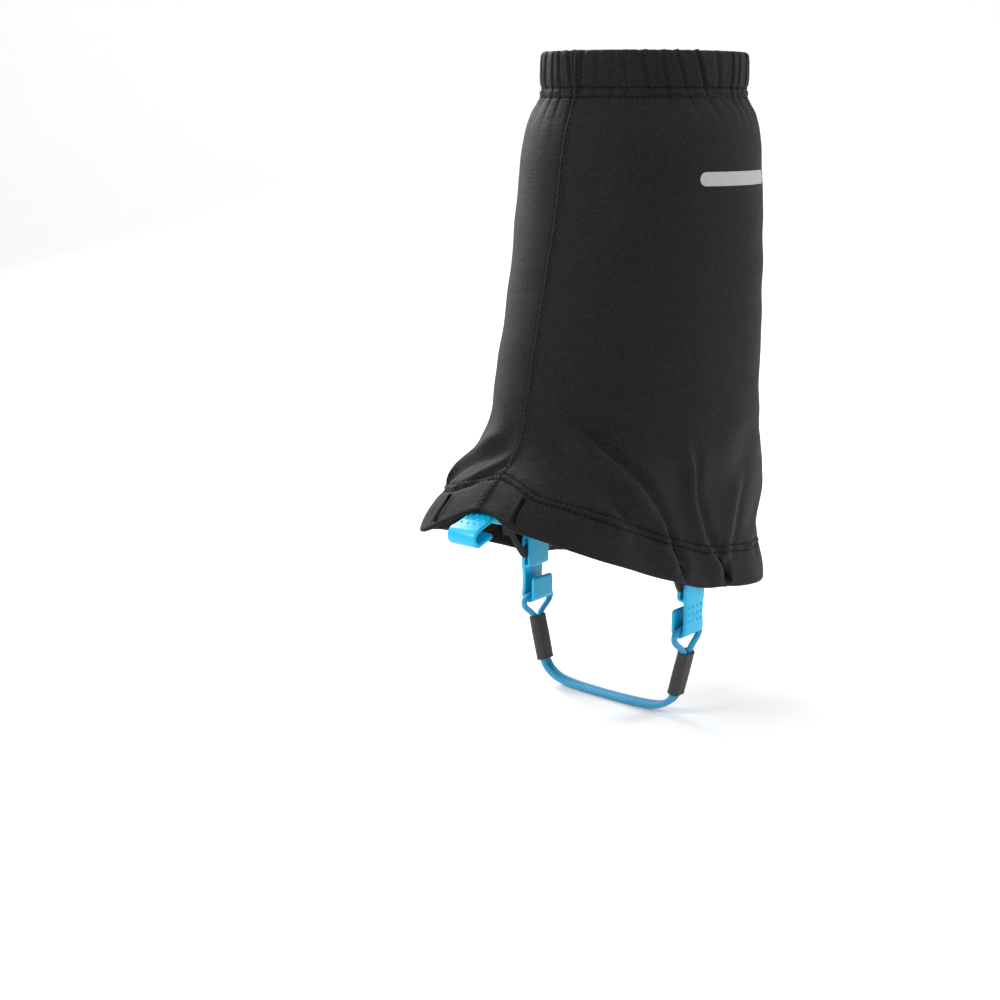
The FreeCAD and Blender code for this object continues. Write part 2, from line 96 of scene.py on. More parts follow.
# angle from the outer side to the rear, and the hem's drop below the cuff
HEM_DROP = np.array((
    (-90, 171.7), (-81, 172.9), (-71, 175.9), (-55, 182.0), (-37, 194.0), (-20, 207.5),
    (-5, 217.0), (20, 222.0), (50, 225.0), (90, 224.0),
))
LEVEL_DROP = 217.5
FABRIC = 0.9
DOUBLED = 1.9
CUFF_FOLD = 20.0
HEM_FOLD = 19.0
ELASTIC_WIDTH = 12.0
ELASTIC_THICK = 1.2
ELASTIC_ROOM = 0.2
CUFF_ROWS = (14.2, 17.7)
HEM_ROWS = (18.2, 15.4)
TACK_RISE = 8.0
TACK_TALL = 10.5
TACK_WIDE = 1.9


def cubic(xs, ys, slope, x):
    """Cubic through points with the given slopes, read at x."""
    i = np.clip(np.searchsorted(xs, x, side="right") - 1, 0, len(xs) - 2)
    span = xs[i + 1] - xs[i]
    t = (x - xs[i]) / span
    return (ys[i] * (1 + 2 * t) * (1 - t) ** 2 + ys[i + 1] * t * t * (3 - 2 * t)
            + span * (slope[i] * t * (1 - t) ** 2 - slope[i + 1] * t * t * (1 - t)))


def smooth(table, x, column=1):
    """Shape-preserving cubic through the rows of a table, read at x."""
    order = np.argsort(table[:, 0])
    xs, ys = table[order, 0], table[order, column]
    rise = np.diff(ys) / np.diff(xs)
    slope = np.zeros(len(xs))
    left, right = rise[:-1], rise[1:]
    same = left * right > 0
    slope[1:-1][same] = 2 * left[same] * right[same] / (left + right)[same]
    return cubic(xs, ys, slope, np.clip(x, xs[0], xs[-1]))


def height(angle, share):
    """Height of the shell's row at a share (0 cuff, 1 hem) of the way down."""
    outer = np.where(angle > 90, 180 - angle, np.where(angle < -90, -180 - angle, angle))
    extra = smooth(HEM_DROP, outer) - LEVEL_DROP
    return -(LEVEL_DROP * share + extra * share ** 3)


def outline(angle, z):
    """Smooth outer face of the shell: points for arrays of angle and height."""
    half, front, rear, power = [smooth(SECTIONS, z, column) for column in (1, 2, 3, 4)]
    c = np.cos(np.radians(angle))
    s = np.sin(np.radians(angle))
    deep = np.where(s > 0, rear - CENTRE_Y, front + CENTRE_Y)
    k = (np.abs(c) ** power + np.abs(s) ** power) ** (-1 / power)
    return np.stack([half * c * k, CENTRE_Y + deep * s * k, z + 0 * c], -1)


def plain(angle, share):
    return outline(angle, height(angle, share))


def unit(v):
    return v / np.maximum(np.linalg.norm(v, axis=-1, keepdims=True), 1e-9)


def per_degree(points):
    """Arc that one degree makes at points of the shell, in mm."""
    return np.linalg.norm(points[..., :2], axis=-1) * math.pi / 180


def run_along(points):
    """Length of a line of points up to each of them."""
    return np.concatenate([[0], np.cumsum(np.linalg.norm(np.diff(points, axis=0), axis=1))])


def read_along(where, run, points):
    """Points or directions of a line, read at distances along it."""
    return np.stack([np.interp(where, run, points[:, k]) for k in range(3)], -1)


def plain_normal(angle, share):
    """Outward normal of the smooth face."""
    around = plain(angle + 0.5, share) - plain(angle - 0.5, share)
    up = plain(angle, share - 0.003) - plain(angle, share + 0.003)
    return unit(np.cross(around, up))


def hem_tables():
    """Distance above the hem for a grid of angles and shares, and the share
    reached at a grid of distances."""
    angles = np.arange(-180.0, 181.0)
    shares = np.linspace(0.0, 1.0, 501)
    points = plain(angles[:, None], shares[None, :])
    run = np.linalg.norm(np.diff(points, axis=1), axis=-1)
    above = np.concatenate([np.cumsum(run[:, ::-1], axis=1)[:, ::-1], np.zeros((len(angles), 1))], 1)
    distances = np.arange(0.0, 41.0, 0.5)
    reached = np.array([np.interp(distances, row[::-1], shares[::-1]) for row in above])
    return above, reached


ABOVE_HEM, REACHED = hem_tables()


def look_up(table, angle, column):
    """Bilinear value of a table with one row per degree from -180."""
    row = (angle + 180) % 360
    i = np.clip(np.floor(row).astype(int), 0, 359)
    j = np.clip(np.floor(column).astype(int), 0, table.shape[1] - 2)
    a, b = row - i, column - j
    return ((table[i, j] * (1 - b) + table[i, j + 1] * b) * (1 - a)
            + (table[i + 1, j] * (1 - b) + table[i + 1, j + 1] * b) * a)


def above_hem(angle, share):
    """Distance along the cloth from the hem's edge."""
    return look_up(ABOVE_HEM, np.asarray(angle, float), np.asarray(share, float) * 500)


def hem_share(angle, distance):
    """Share at a distance above the hem's edge, measured on the cloth."""
    return look_up(REACHED, np.asarray(angle, float), np.asarray(distance, float) * 2)


def bump(x, width):
    return np.exp(-(x / width) ** 2)


def ease(x, start, end):
    """0 before start, 1 after end, smooth between."""
    t = np.clip((x - start) / (end - start), 0, 1)
    return t * t * (3 - 2 * t)


def ripple(points, length, seed, stretch=(1, 1, 1)):
    """Smooth noise of about the given wavelength (mm), between -1 and 1."""
    draw = np.random.default_rng(seed)
    total = np.zeros(points.shape[:-1])
    count = 14
    for _ in range(count):
        way = unit(draw.normal(size=3)) * np.array(stretch)
        total += np.sin(points @ way * (2 * math.pi / length) * draw.uniform(0.6, 1.5)
                        + draw.uniform(0, 6.28))
    return total / math.sqrt(count / 2) / 1.7


# ------------------------------------------------------------ cloth in relief
def gather_set():
    """Gathers of the elastic cuff: angle, depth, width, slant of each."""
    gathers = []
    angle = -180.0
    while angle < 178:
        angle += RNG.uniform(6.5, 11.5)
        calm = 1.0 - 0.62 * bump(angle + 62, 17) - 0.25 * bump(angle + 35, 8)
        slant = RNG.uniform(-0.16, 0.16) - 0.24 * bump(angle + 32, 40)
        gathers.append((angle, RNG.uniform(0.85, 1.5) * calm, RNG.uniform(1.1, 1.9), slant))
    return gathers


GATHERS = gather_set()


def turn(a, b):
    """Difference between two angles, between -180 and 180."""
    return (a - b + 180) % 360 - 180


def crease_distance(points, line):
    """Signed distance (mm) to a line of points on the shell, how far along it
    (0 to 1) the nearest point is, for points of the smooth face."""
    best = np.full(points.shape[:-1], 1e9)
    signed = np.zeros(points.shape[:-1])
    along = np.zeros(points.shape[:-1])
    total = len(line) - 1
    for i in range(total):
        a, b = line[i], line[i + 1]
        ab = b - a
        t = np.clip(((points - a) @ ab) / (ab @ ab), 0, 1)
        near = a + t[..., None] * ab
        gap = points - near
        distance = np.linalg.norm(gap, axis=-1)
        outward = unit(near * np.array([1, 1, 0]) - np.array([0, CENTRE_Y, 0]))
        side = np.sign(np.einsum("...i,...i", np.cross(ab, gap), outward))
        closer = distance < best
        best = np.where(closer, distance, best)
        signed = np.where(closer, distance * side, signed)
        along = np.where(closer, (i + t) / total, along)
    return signed, along


def on_shell(angle, z):
    """Point of the smooth face at an angle and a height."""
    low, high = 0.0, 1.0
    for _ in range(40):
        middle = (low + high) / 2
        if height(np.array(float(angle)), middle) > z:
            low = middle
        else:
            high = middle
    return plain(np.array(float(angle)), np.array(middle))


# each fold: its line as (angle, height), how proud, width above and below it
FOLDS = (
    (((-80, -141), (-66, -145), (-52, -155), (-36, -166), (-25, -181), (-22, -193), (-18, -204)),
     3.3, 2.8, 6.2),
    (((-26, -148), (-19, -162), (-15, -175), (-10, -195), (-3, -212)), 2.1, 2.8, 5.0),
    (((-46, -168), (-36, -178), (-28, -188), (-20, -200)), 1.0, 2.2, 3.2),
    (((6, -168), (2, -184), (-1, -204)), 1.3, 4.0, 6.0),
    (((-60, -160), (-44, -170), (-34, -184)), 0.8, 2.5, 4.0),
    (((-94, -146), (-106, -151), (-122, -160), (-140, -178)), 2.2, 3.8, 6.5),
    (((-88, -153), (-97, -158), (-108, -164)), 1.1, 2.0, 3.0),
    (((-160, -160), (-166, -178), (-172, -200)), 1.5, 4.0, 5.0),
    (((120, -172), (142, -192), (158, -206)), 1.4, 4.5, 6.0),
    (((52, -168), (40, -188), (24, -204)), 1.2, 4.5, 6.0),
    (((60, -122), (74, -136), (90, -140), (106, -134), (120, -122)), 0.9, 5.0, 7.0),
    (((66, -150), (80, -158), (98, -159), (112, -152)), 0.8, 4.0, 6.0),
)
FOLD_LINES = [[on_shell(a, z) for a, z in line] for line, *_ in FOLDS]


def relief(angle, share):
    """How far the worn cloth stands out of the smooth face (less than 0: into it), in mm."""
    points = plain(angle, share)
    z = points[..., 2]
    hem = above_hem(angle, share)
    degree = per_degree(points)
    cuff_degree = math.pi * 45 / 180
    out = np.zeros(points.shape[:-1])
    # cuff gathers
    cuff = ease(z, -CUFF_ROWS[0] - 0.6, -CUFF_ROWS[0] + 2.6)
    below = (1 - cuff) * np.exp(-np.clip(-z - CUFF_ROWS[1], 0, None) / 7.0)
    for centre, depth, width, slant in GATHERS:
        across = turn(angle, centre) * cuff_degree - slant * (z + 8)
        out -= cuff * depth * bump(across, width * 0.75)
        out += cuff * depth * 0.4 * bump(across, width * 2.2)
        out -= below * depth * 0.62 * bump(across, width * (0.8 - 0.03 * (z + CUFF_ROWS[1])))
    # stitched channel
    for row in CUFF_ROWS:
        out -= 0.5 * bump(z + row, 0.75)
    between = (CUFF_ROWS[0] + CUFF_ROWS[1]) / 2
    out += 0.4 * bump(z + between, 1.1) * (0.45 + 1.0 * ripple(points, 8, 3))
    out += 0.25 * ease(z, -13.0, -9) * ease(-z, 1.0, 4.0)
    # folds that run to the hooks
    for (_, proud, above, below), path in zip(FOLDS, FOLD_LINES):
        distance, along = crease_distance(points, path)
        fade = ease(along, 0.0, 0.35) * (1 - 0.35 * ease(along, 0.8, 1.0))
        out += proud * fade * (np.where(distance > 0, bump(distance, above), bump(distance, below))
                               - 0.62 * bump(distance - above * 1.5, above * 0.9))
    # worn shape: flatter beside the shin, drawn in above the rear of the hem
    out -= 1.6 * bump(turn(angle, -143), 32) * bump(z + 98, 38)
    out -= 3.0 * bump(turn(angle, 34), 24) * bump(z + 196, 15)
    out += 1.0 * bump(turn(angle, 30), 20) * bump(hem, 7.0)
    # hem: two rows pull in, the edge rolls out a little
    for row in HEM_ROWS:
        out -= 0.42 * bump(hem - row, 0.75)
    out += 0.3 * bump(hem - 16.8, 0.7)
    out += 0.3 * bump(hem - 9.0, 6.0)
    puckers = ripple(points, 7.5, 11, (1, 1, 0.25))
    out += 0.3 * puckers * bump(hem - 16.8, 4.0)
    out += 0.5 * ripple(points, 26, 12, (1, 1, 0.4)) * ease(-hem, -14, -1)
    # front and rear seams: the outer panel laps over
    for seam in (-90, 90):
        lap = turn(angle, seam) * (1 if seam < 0 else -1) * degree
        out += 0.55 * np.where(lap > -0.15, 1 - ease(lap, 2.2, 3.6), 0)
        out -= 0.35 * bump(lap + 0.6, 0.7)
        out -= 0.22 * bump(lap - 1.5, 0.5)
    # tacks draw the cloth in
    for tack_angle in FRONT_TACKS + SIDE_TACKS + MEDIAL_TACKS:
        across = turn(angle, tack_angle) * degree
        along_tack = (hem - TACK_RISE) / (TACK_TALL / 2)
        out -= 0.7 * bump(across, 1.5) * np.exp(-along_tack ** 4)
        out += 0.35 * bump(np.abs(across) - 3.2, 1.8) * np.exp(-along_tack ** 4)
    # soft unevenness of worn cloth
    body = ease(-z, 22, 40)
    out += body * 0.45 * ripple(points, 70, 21, (1, 1, 0.8))
    out += body * 0.16 * ripple(points, 22, 22, (0.6, 0.6, 1.5))
    out += body * ease(-z, 110, 160) * 0.35 * ripple(points, 30, 23, (1.2, 1.2, 0.8))
    return out


def droop(angle, share):
    """The hem's inner front corner hangs lower and further out."""
    reach = bump(turn(angle, -116), 17) * ease(-above_hem(angle, share), -26, 0)
    return reach[..., None] * np.array((-4.2, -3.4, -6.0))


def angle_where(axis, value, start, end):
    """Angle at which the hem's edge reaches a coordinate, between two angles."""
    for _ in range(40):
        middle = (start + end) / 2
        if plain(np.array(middle), np.array(1.0))[axis] < value:
            start = middle
        else:
            end = middle
    return (start + end) / 2


def hold_angles(half):
    """Angles of both holds of the front, the lateral and the medial tape."""
    front = tuple(angle_where(0, x, -179, -1) for x in (-half, half))
    side = tuple(angle_where(1, STIRRUP_Y + y, -89, 89) for y in (-half, half))
    return front, side, tuple(-180 - a if a < 0 else 180 - a for a in side)


STIRRUP_Y = (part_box("lateral_hook")[0].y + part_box("lateral_hook")[1].y) / 2 / MM
TAPE_HALF = 17.0
TAPE_TAIL = 3.0
FRONT_TACKS, SIDE_TACKS, MEDIAL_TACKS = hold_angles(TAPE_HALF)
FRONT_TAILS, SIDE_TAILS, MEDIAL_TAILS = hold_angles(TAPE_HALF + TAPE_TAIL)


def cloth_point(angle, share, depth=0.0):
    """Point of the worn cloth, depth mm inside its outer face, in mm."""
    angle, share = np.broadcast_arrays(np.asarray(angle, float), np.asarray(share, float))
    step_a, step_s = 0.35, 0.0016
    def face(a, s):
        return plain(a, s) + plain_normal(a, s) * relief(a, s)[..., None] + droop(a, s)
    here = face(angle, share)
    around = face(angle + step_a, share) - face(angle - step_a, share)
    up = face(angle, share - step_s) - face(angle, share + step_s)
    normal = unit(np.cross(around, up))
    return here - normal * np.asarray(depth)[..., None], normal


# ------------------------------------------------------------- mesh builders
def new_object(name, vertices, faces, smooth_angle=None, uvs=None):
    """Object from points in mm; uvs are one pair per vertex, in metres."""
    mesh = bpy.data.meshes.new(name)
    mesh.from_pydata((np.asarray(vertices) * MM).tolist(), [], faces)
    if uvs is not None:
        layer = mesh.uv_layers.new(name="cloth")
        corners = np.empty(len(mesh.loops), dtype=np.int32)
        mesh.loops.foreach_get("vertex_index", corners)
        layer.data.foreach_set("uv", np.asarray(uvs, dtype=np.float32)[corners].ravel())
    fix_normals(mesh)
    mesh.shade_smooth()
    if smooth_angle is not None:
        mesh.set_sharp_from_angle(angle=math.radians(smooth_angle))
    piece = bpy.data.objects.new(name, mesh)
    bpy.context.scene.collection.objects.link(piece)
    return piece


def fix_normals(mesh):
    shape = bmesh.new()
    shape.from_mesh(mesh)
    bmesh.ops.recalc_face_normals(shape, faces=shape.faces)
    shape.to_mesh(mesh)
    shape.free()


def loft_faces(rings, around, closed_ring=True, closed_loft=False):
    """Quads between rings of points, each ring with the same count."""
    faces = []
    for i in range(rings if closed_loft else rings - 1):
        here, there = i * around, ((i + 1) % rings) * around
        for j in range(around if closed_ring else around - 1):
            k = (j + 1) % around
            faces.append((here + j, here + k, there + k, there + j))
    return faces


def capped(rings, around):
    """Quads of a lofted tube, with a face over each end."""
    last = around * (rings - 1)
    return loft_faces(rings, around) + [tuple(range(around)), tuple(reversed(range(last, last + around)))]


def frames(path):
    """Rotation-minimizing side and up directions along a path of points."""
    tangent = unit(np.gradient(path, axis=0))
    side = np.cross(tangent[0], (0.3, 0.9, 0.2))
    sides = []
    for t in tangent:
        side = unit(side - t * (side @ t))
        sides.append(side)
    sides = np.array(sides)
    return sides, np.cross(tangent, sides)


def tube_points(path, radius, around):
    """Rings of a round tube along a path, with a radius for each point."""
    side, up = frames(path)
    turns = np.arange(around) * 2 * math.pi / around
    ring = (np.cos(turns)[None, :, None] * side[:, None] + np.sin(turns)[None, :, None] * up[:, None])
    return path[:, None] + ring * radius[:, None, None]


def tubes(name, paths, radius, around):
    """One mesh of separate short tubes with rounded ends."""
    vertices, faces = [], []
    for path in paths:
        share = np.linspace(-1, 1, len(path))
        size = radius * np.sqrt(np.clip(1 - (share * 0.985) ** 6, 0.05, 1))
        rings = tube_points(np.asarray(path), size, around)
        start = sum(len(v) for v in vertices)
        vertices.append(rings.reshape(-1, 3))
        faces += [tuple(start + i for i in face) for face in capped(len(path), around)]
    return new_object(name, np.concatenate(vertices), faces)


def stand_in(piece, body, node):
    """Make a piece ride on a body, in place of a CAD node."""
    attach(piece, body)
    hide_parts(node)
    return piece


# --------------------------------------------------------------------- shell
def cuff_share(distance):
    return distance / LEVEL_DROP


def section_rows(angle):
    """The panel's section as (share, depth) rows, for an array of angles:
    outer face down, round the hem's fold and up inside, over the elastic,
    down the casing and back to the top."""
    roll = FABRIC + ELASTIC_THICK / 2 + ELASTIC_ROOM
    hem_roll = DOUBLED / 2
    rows = []
    for turn_share in np.linspace(0.5, 1, 7):
        phi = math.pi * turn_share
        rows.append((cuff_share(roll - roll * math.sin(phi)), roll + roll * math.cos(phi)))
    for distance in np.linspace(roll, 26, 52)[1:]:
        rows.append((cuff_share(distance), 0.0))
    for t in np.linspace(0, 1, 90)[1:]:
        rows.append(((1 - t) * cuff_share(26) + t * hem_share(angle, 23.0), 0.0))
    for distance in np.linspace(23.0, hem_roll, 50)[1:]:
        rows.append((hem_share(angle, distance), 0.0))
    for turn_share in np.linspace(0, 1, 8)[1:]:
        phi = math.pi * turn_share
        rise = hem_roll - hem_roll * math.sin(phi)
        rows.append((hem_share(angle, rise), hem_roll - hem_roll * math.cos(phi)))
    for distance in np.linspace(hem_roll, HEM_FOLD, 14)[1:]:
        rows.append((hem_share(angle, distance), DOUBLED))
    rows.append((hem_share(angle, HEM_FOLD + 0.4), FABRIC + 0.45))
    rows.append((hem_share(angle, HEM_FOLD + 0.7), FABRIC))
    for t in np.linspace(0, 1, 60)[1:]:
        rows.append(((1 - t) * hem_share(angle, HEM_FOLD + 0.7) + t * cuff_share(23.5), FABRIC))
    far = FABRIC + ELASTIC_THICK + 2 * ELASTIC_ROOM
    casing = [(distance, FABRIC) for distance in (22.0, 15.2, 13.8, 11, 8.5, 6, 3)]
    casing += [(1.4, FABRIC + 0.15), (0.95, FABRIC + 0.6), (0.95, FABRIC + 1.1), (1.4, far - 0.05)]
    casing += [(distance, far) for distance in (3, 6, 8.5, 11, 13.4)]
    casing += [(distance, FABRIC + 0.12) for distance in (14.6, 17.7, CUFF_FOLD)]
    casing += [(CUFF_FOLD + 0.25, FABRIC + 0.5)]
    casing += [(distance, 2 * FABRIC) for distance in (CUFF_FOLD, 17.7, 14.8)]
    casing += [(13.8, far + FABRIC - 0.2)]
    casing += [(distance, far + FABRIC) for distance in (12.5, 10, 8, 6, 3.5)]
    for distance, depth in casing:
        rows.append((cuff_share(distance), depth))
    for turn_share in np.linspace(0, 0.5, 7)[:-1]:
        phi = math.pi * turn_share
        rows.append((cuff_share(roll - roll * math.sin(phi)), roll + roll * math.cos(phi)))
    return rows


def panel(name, first, last, quick_step):
    """Half of the shell, between two seam angles."""
    columns = int(abs(last - first) / quick_step) + 1
    angle = np.linspace(first, last, columns)
    rows = section_rows(angle)
    grid = []
    for share, depth in rows:
        grid.append((np.broadcast_to(share, angle.shape), np.broadcast_to(depth, angle.shape)))
    shares = np.stack([g[0] for g in grid])
    depths = np.stack([g[1] for g in grid])
    points, _ = cloth_point(angle[None, :] + 0 * shares, shares, depths)
    side = 1 if first < 0 else -1
    points[:, 0, 0] = -SEAM_LAP * side
    points[:, -1, 0] = -SEAM_LAP * side
    count = len(rows)
    flat = plain(angle, np.full_like(angle, 0.5))
    run = run_along(flat)
    across = np.broadcast_to(run[None, :], shares.shape)
    uvs = np.stack([across, points[..., 2]], -1).reshape(-1, 2) * MM
    ring = points.transpose(1, 0, 2).reshape(-1, 3)
    uvs = uvs.reshape(count, columns, 2).transpose(1, 0, 2).reshape(-1, 2)
    faces = loft_faces(columns, count)
    piece = new_object(name, ring, faces, uvs=uvs)
    cap_ends(piece.data)
    return piece


def cap_ends(mesh):
    shape = bmesh.new()
    shape.from_mesh(mesh)
    open_edges = [edge for edge in shape.edges if edge.is_boundary]
    bmesh.ops.triangle_fill(shape, edges=open_edges, use_beauty=True)
    bmesh.ops.recalc_face_normals(shape, faces=shape.faces)
    shape.to_mesh(mesh)
    shape.free()


def flat_size():
    """Width and height of one panel as it was cut, with its turned edges."""
    angle = np.linspace(-90, 90, 181)
    rows = [plain(angle, np.full_like(angle, share)) for share in (0.05, 0.3, 0.6, 0.95)]
    wide = max(np.linalg.norm(np.diff(row, axis=0), axis=1).sum() for row in rows)
    tall = max(HEM_DROP[:, 1]) + CUFF_FOLD + HEM_FOLD + 2
    return wide * MM, tall * MM


def cloth_area():
    """Area of one panel's cloth, folded edges included."""
    angle = np.linspace(-90, 90, 121)
    share = np.linspace(0, 1, 81)
    grid = plain(angle[None, :] + 0 * share[:, None], share[:, None] + 0 * angle[None, :])
    a = grid[1:, :-1] - grid[:-1, :-1]
    b = grid[:-1, 1:] - grid[:-1, :-1]
    outer = np.linalg.norm(np.cross(a, b), axis=-1).sum()
    top = np.linalg.norm(np.diff(grid[2], axis=0), axis=1).sum()
    foot = np.linalg.norm(np.diff(grid[-1], axis=0), axis=1).sum()
    return (outer + top * CUFF_FOLD + foot * HEM_FOLD) * MM * MM


SEAM_LAP = 0.03
COLUMN_STEP = 0.5
lateral_panel = panel("lateral_panel_cloth", -90, 90, COLUMN_STEP)
medial_panel = panel("medial_panel_cloth", 90, 270, COLUMN_STEP)
for piece, node in ((lateral_panel, "lateral_panel"), (medial_panel, "medial_panel")):
    stand_in(piece, "gaiter", node)
    flat_size()
    cloth_area()


def band(name, upper, lower, outer, inner):
    """Closed band round the leg between two distances below the cuff's top."""
    angle = np.linspace(-90, 270, 721)[:-1]
    corners = ((upper + 0.2, outer), (lower - 0.2, outer), (lower, outer + 0.2), (lower, inner - 0.2),
               (lower - 0.2, inner), (upper + 0.2, inner), (upper, inner - 0.2), (upper, outer + 0.2))
    rings = []
    for distance, depth in corners:
        point, _ = cloth_point(angle, np.full_like(angle, cuff_share(distance)), np.full_like(angle, depth))
        rings.append(point)
    ring = np.stack(rings, 1)
    u = np.repeat(np.arange(len(angle)) * 0.44, len(corners))
    v = np.tile([c[0] for c in corners], len(angle))
    faces = loft_faces(len(angle), len(corners), closed_loft=True)
    return new_object(name, ring.reshape(-1, 3), faces, smooth_angle=50, uvs=np.stack([u, v], -1) * MM)


ELASTIC_TOP = FABRIC + ELASTIC_ROOM
elastic = band("cuff_elastic_band", ELASTIC_TOP, ELASTIC_TOP + ELASTIC_WIDTH,
               ELASTIC_TOP, ELASTIC_TOP + ELASTIC_THICK)
stand_in(elastic, "gaiter", "cuff_elastic")


# ------------------------------------------------------------------ stitching
STITCH = 1.5
STITCH_GAP = 0.75
THREAD_R = 0.2


def stitch_paths(points, normals):
    """Separate stitches along a line of points on the cloth."""
    run = run_along(points)
    pitch = run[-1] / round(run[-1] / (STITCH + STITCH_GAP))
    paths = []
    start = 0.0
    while start + pitch < run[-1] + 0.01:
        along = np.linspace(start, start + pitch - STITCH_GAP, 6)
        bow = np.array([-0.12, 0.12, 0.2, 0.2, 0.12, -0.12])
        paths.append(read_along(along, run, points) + unit(read_along(along, run, normals)) * bow[:, None])
        start += pitch
    return paths


def cloth_line(angles, shares):
    return cloth_point(np.asarray(angles, float), np.asarray(shares, float))


def all_round(row):
    """Both halves of a row of stitches, stopping short of the seams."""
    paths = []
    for first, last in ((-89, 89), (91, 269)):
        angle = np.linspace(first, last, 1200)
        paths += stitch_paths(*cloth_line(angle, row(angle)))
    return paths


def down_seam(seam, aside):
    """Row of stitches beside a seam, a distance to the outer side of it."""
    share = np.linspace(0.008, 0.992, 900)
    degree = per_degree(plain(np.full_like(share, seam), share))
    angle = seam + (aside if seam < 0 else -aside) / degree
    return stitch_paths(*cloth_line(angle, share))


def thread_piece(name, node, paths, radius=THREAD_R, around=6):
    return stand_in(tubes(name, paths, radius, around), "gaiter", node)


SEAM_ROW = 1.5
threads = [
    thread_piece("cuff_stitches_upper", "cuff_stitch_upper",
                 all_round(lambda angle: np.full_like(angle, cuff_share(CUFF_ROWS[0])))),
    thread_piece("cuff_stitches_lower", "cuff_stitch_lower",
                 all_round(lambda angle: np.full_like(angle, cuff_share(CUFF_ROWS[1])))),
    thread_piece("hem_stitches_upper", "hem_stitch_upper",
                 all_round(lambda angle: hem_share(angle, HEM_ROWS[0]))),
    thread_piece("hem_stitches_lower", "hem_stitch_lower",
                 all_round(lambda angle: hem_share(angle, HEM_ROWS[1]))),
    thread_piece("front_seam_stitches", "front_seam_thread", down_seam(-90, SEAM_ROW)),
    thread_piece("rear_seam_stitches", "rear_seam_thread", down_seam(90, SEAM_ROW)),
]


def tack_paths(angle, lean):
    """Satin bars of one bar tack, over two runners laid along it."""
    paths = []
    degree = per_degree(plain(np.array(angle), np.array(1.0)))
    count = 20
    for i in range(count + 1):
        up = TACK_RISE + TACK_TALL * (0.5 - i / count)
        middle = angle + lean * (0.5 - i / count) * TACK_TALL / degree
        wide = TACK_WIDE * (1.0 if i % 2 else 0.9)
        across = middle + np.linspace(-wide / 2, wide / 2, 6) / degree
        share = hem_share(across, up + 0.28 * np.linspace(-1, 1, 6))
        points, normals = cloth_line(across, share)
        crown = np.array([-0.2, 0.3, 0.45, 0.45, 0.3, -0.2])
        paths.append(points + normals * crown[:, None])
    for runner in (-0.45, 0.45):
        t = np.linspace(-0.5, 0.5, 8)
        angles = angle + (runner - lean * t * TACK_TALL) / degree
        points, normals = cloth_line(angles, hem_share(angles, TACK_RISE - TACK_TALL * t * 0.96))
        paths.append(points + normals * 0.12)
    return paths


TACK_LEAN = 0.45
for name, node, tack_angles, lean in (
        ("front_tacks", "front_bar_tacks", FRONT_TACKS, -TACK_LEAN),
        ("lateral_tacks", "lateral_bar_tacks", SIDE_TACKS, -TACK_LEAN),
        ("medial_tacks", "medial_bar_tacks", MEDIAL_TACKS, TACK_LEAN)):
    paths = [path for tack_angle in tack_angles for path in tack_paths(tack_angle, lean)]
    threads.append(thread_piece(name, node, paths, radius=0.27, around=8))


# ---------------------------------------------------------------------- hooks
HOOK_WIDE = 13.5
HOOK_THICK = 1.8
LIP_THICK = 1.5
TAPE_TALL = 5.0
TAPE_THICK = 0.9
EYE_ROOM = 0.35
EYE_HALF_DEEP = TAPE_THICK / 2 + EYE_ROOM
EYE_FRONT = EYE_HALF_DEEP + HOOK_THICK
EYE_HALF_TALL = 6.1
EYE_BOTTOM = -7.5
CURL_R = 2.0
CURL_X = EYE_HALF_DEEP - CURL_R
CURL_DROP = 19.5
LIP_RISE = 8.0
WAIST = 0.7
DOT_ROWS = (-9.9, -12.9, -15.9)
DOT_STEP = 3.0
EDGE_ROUND = 0.45


def arc(centre, radius, start, end, count):
    """Points of an arc in the hook's side view; angles in degrees from +x."""
    a = np.radians(np.linspace(start, end, count))
    return [(centre[0] + radius * math.cos(t), centre[1] + radius * math.sin(t)) for t in a]


def straight(a, b, step=0.55):
    """Points from a to b, without its last."""
    count = max(1, round(math.dist(a, b) / step))
    return [tuple(a[k] + (b[k] - a[k]) * i / count for k in (0, 1)) for i in range(count)]


def hook_outline():
    """Side view of the moulding, counterclockwise, eye centre at the origin."""
    lip_front = CURL_X - CURL_R
    lip_back = lip_front - LIP_THICK
    top = -EYE_BOTTOM
    corner = 1.9
    back_eye = -EYE_HALF_DEEP - LIP_THICK
    bead = LIP_THICK / 2
    bead_z = -CURL_DROP + LIP_RISE - bead
    curl = (CURL_X, -CURL_DROP)
    outer = CURL_R + HOOK_THICK
    foot = math.degrees(math.acos((lip_back - CURL_X) / outer))
    foot_z = -CURL_DROP - outer * math.sin(math.radians(foot))
    points = straight((EYE_FRONT, -CURL_DROP), (EYE_FRONT, top - corner))
    points += arc((EYE_FRONT - corner, top - corner), corner, 0, 90, 8)
    points += arc((back_eye + corner, top - corner), corner, 90, 180, 8)
    points += straight((back_eye, top - corner - 0.4), (back_eye, EYE_BOTTOM + corner))
    points += arc((back_eye + corner, EYE_BOTTOM + corner), corner, 180, 270, 8)
    points += arc((EYE_HALF_DEEP - 0.5, EYE_BOTTOM - 0.5), 0.5, 90, 0, 4)
    points += straight((EYE_HALF_DEEP, EYE_BOTTOM - 1.0), (EYE_HALF_DEEP, -CURL_DROP))
    points += arc(curl, CURL_R, 0, -180, 22)
    points += straight((lip_front, -CURL_DROP + 0.5), (lip_front, bead_z))
    points += arc((lip_front - bead, bead_z), bead, 0, 180, 8)
    points += straight((lip_back, bead_z - 0.5), (lip_back, foot_z + 0.3))
    points += arc(curl, outer, -foot, 0, 26)[:-1]
    return points


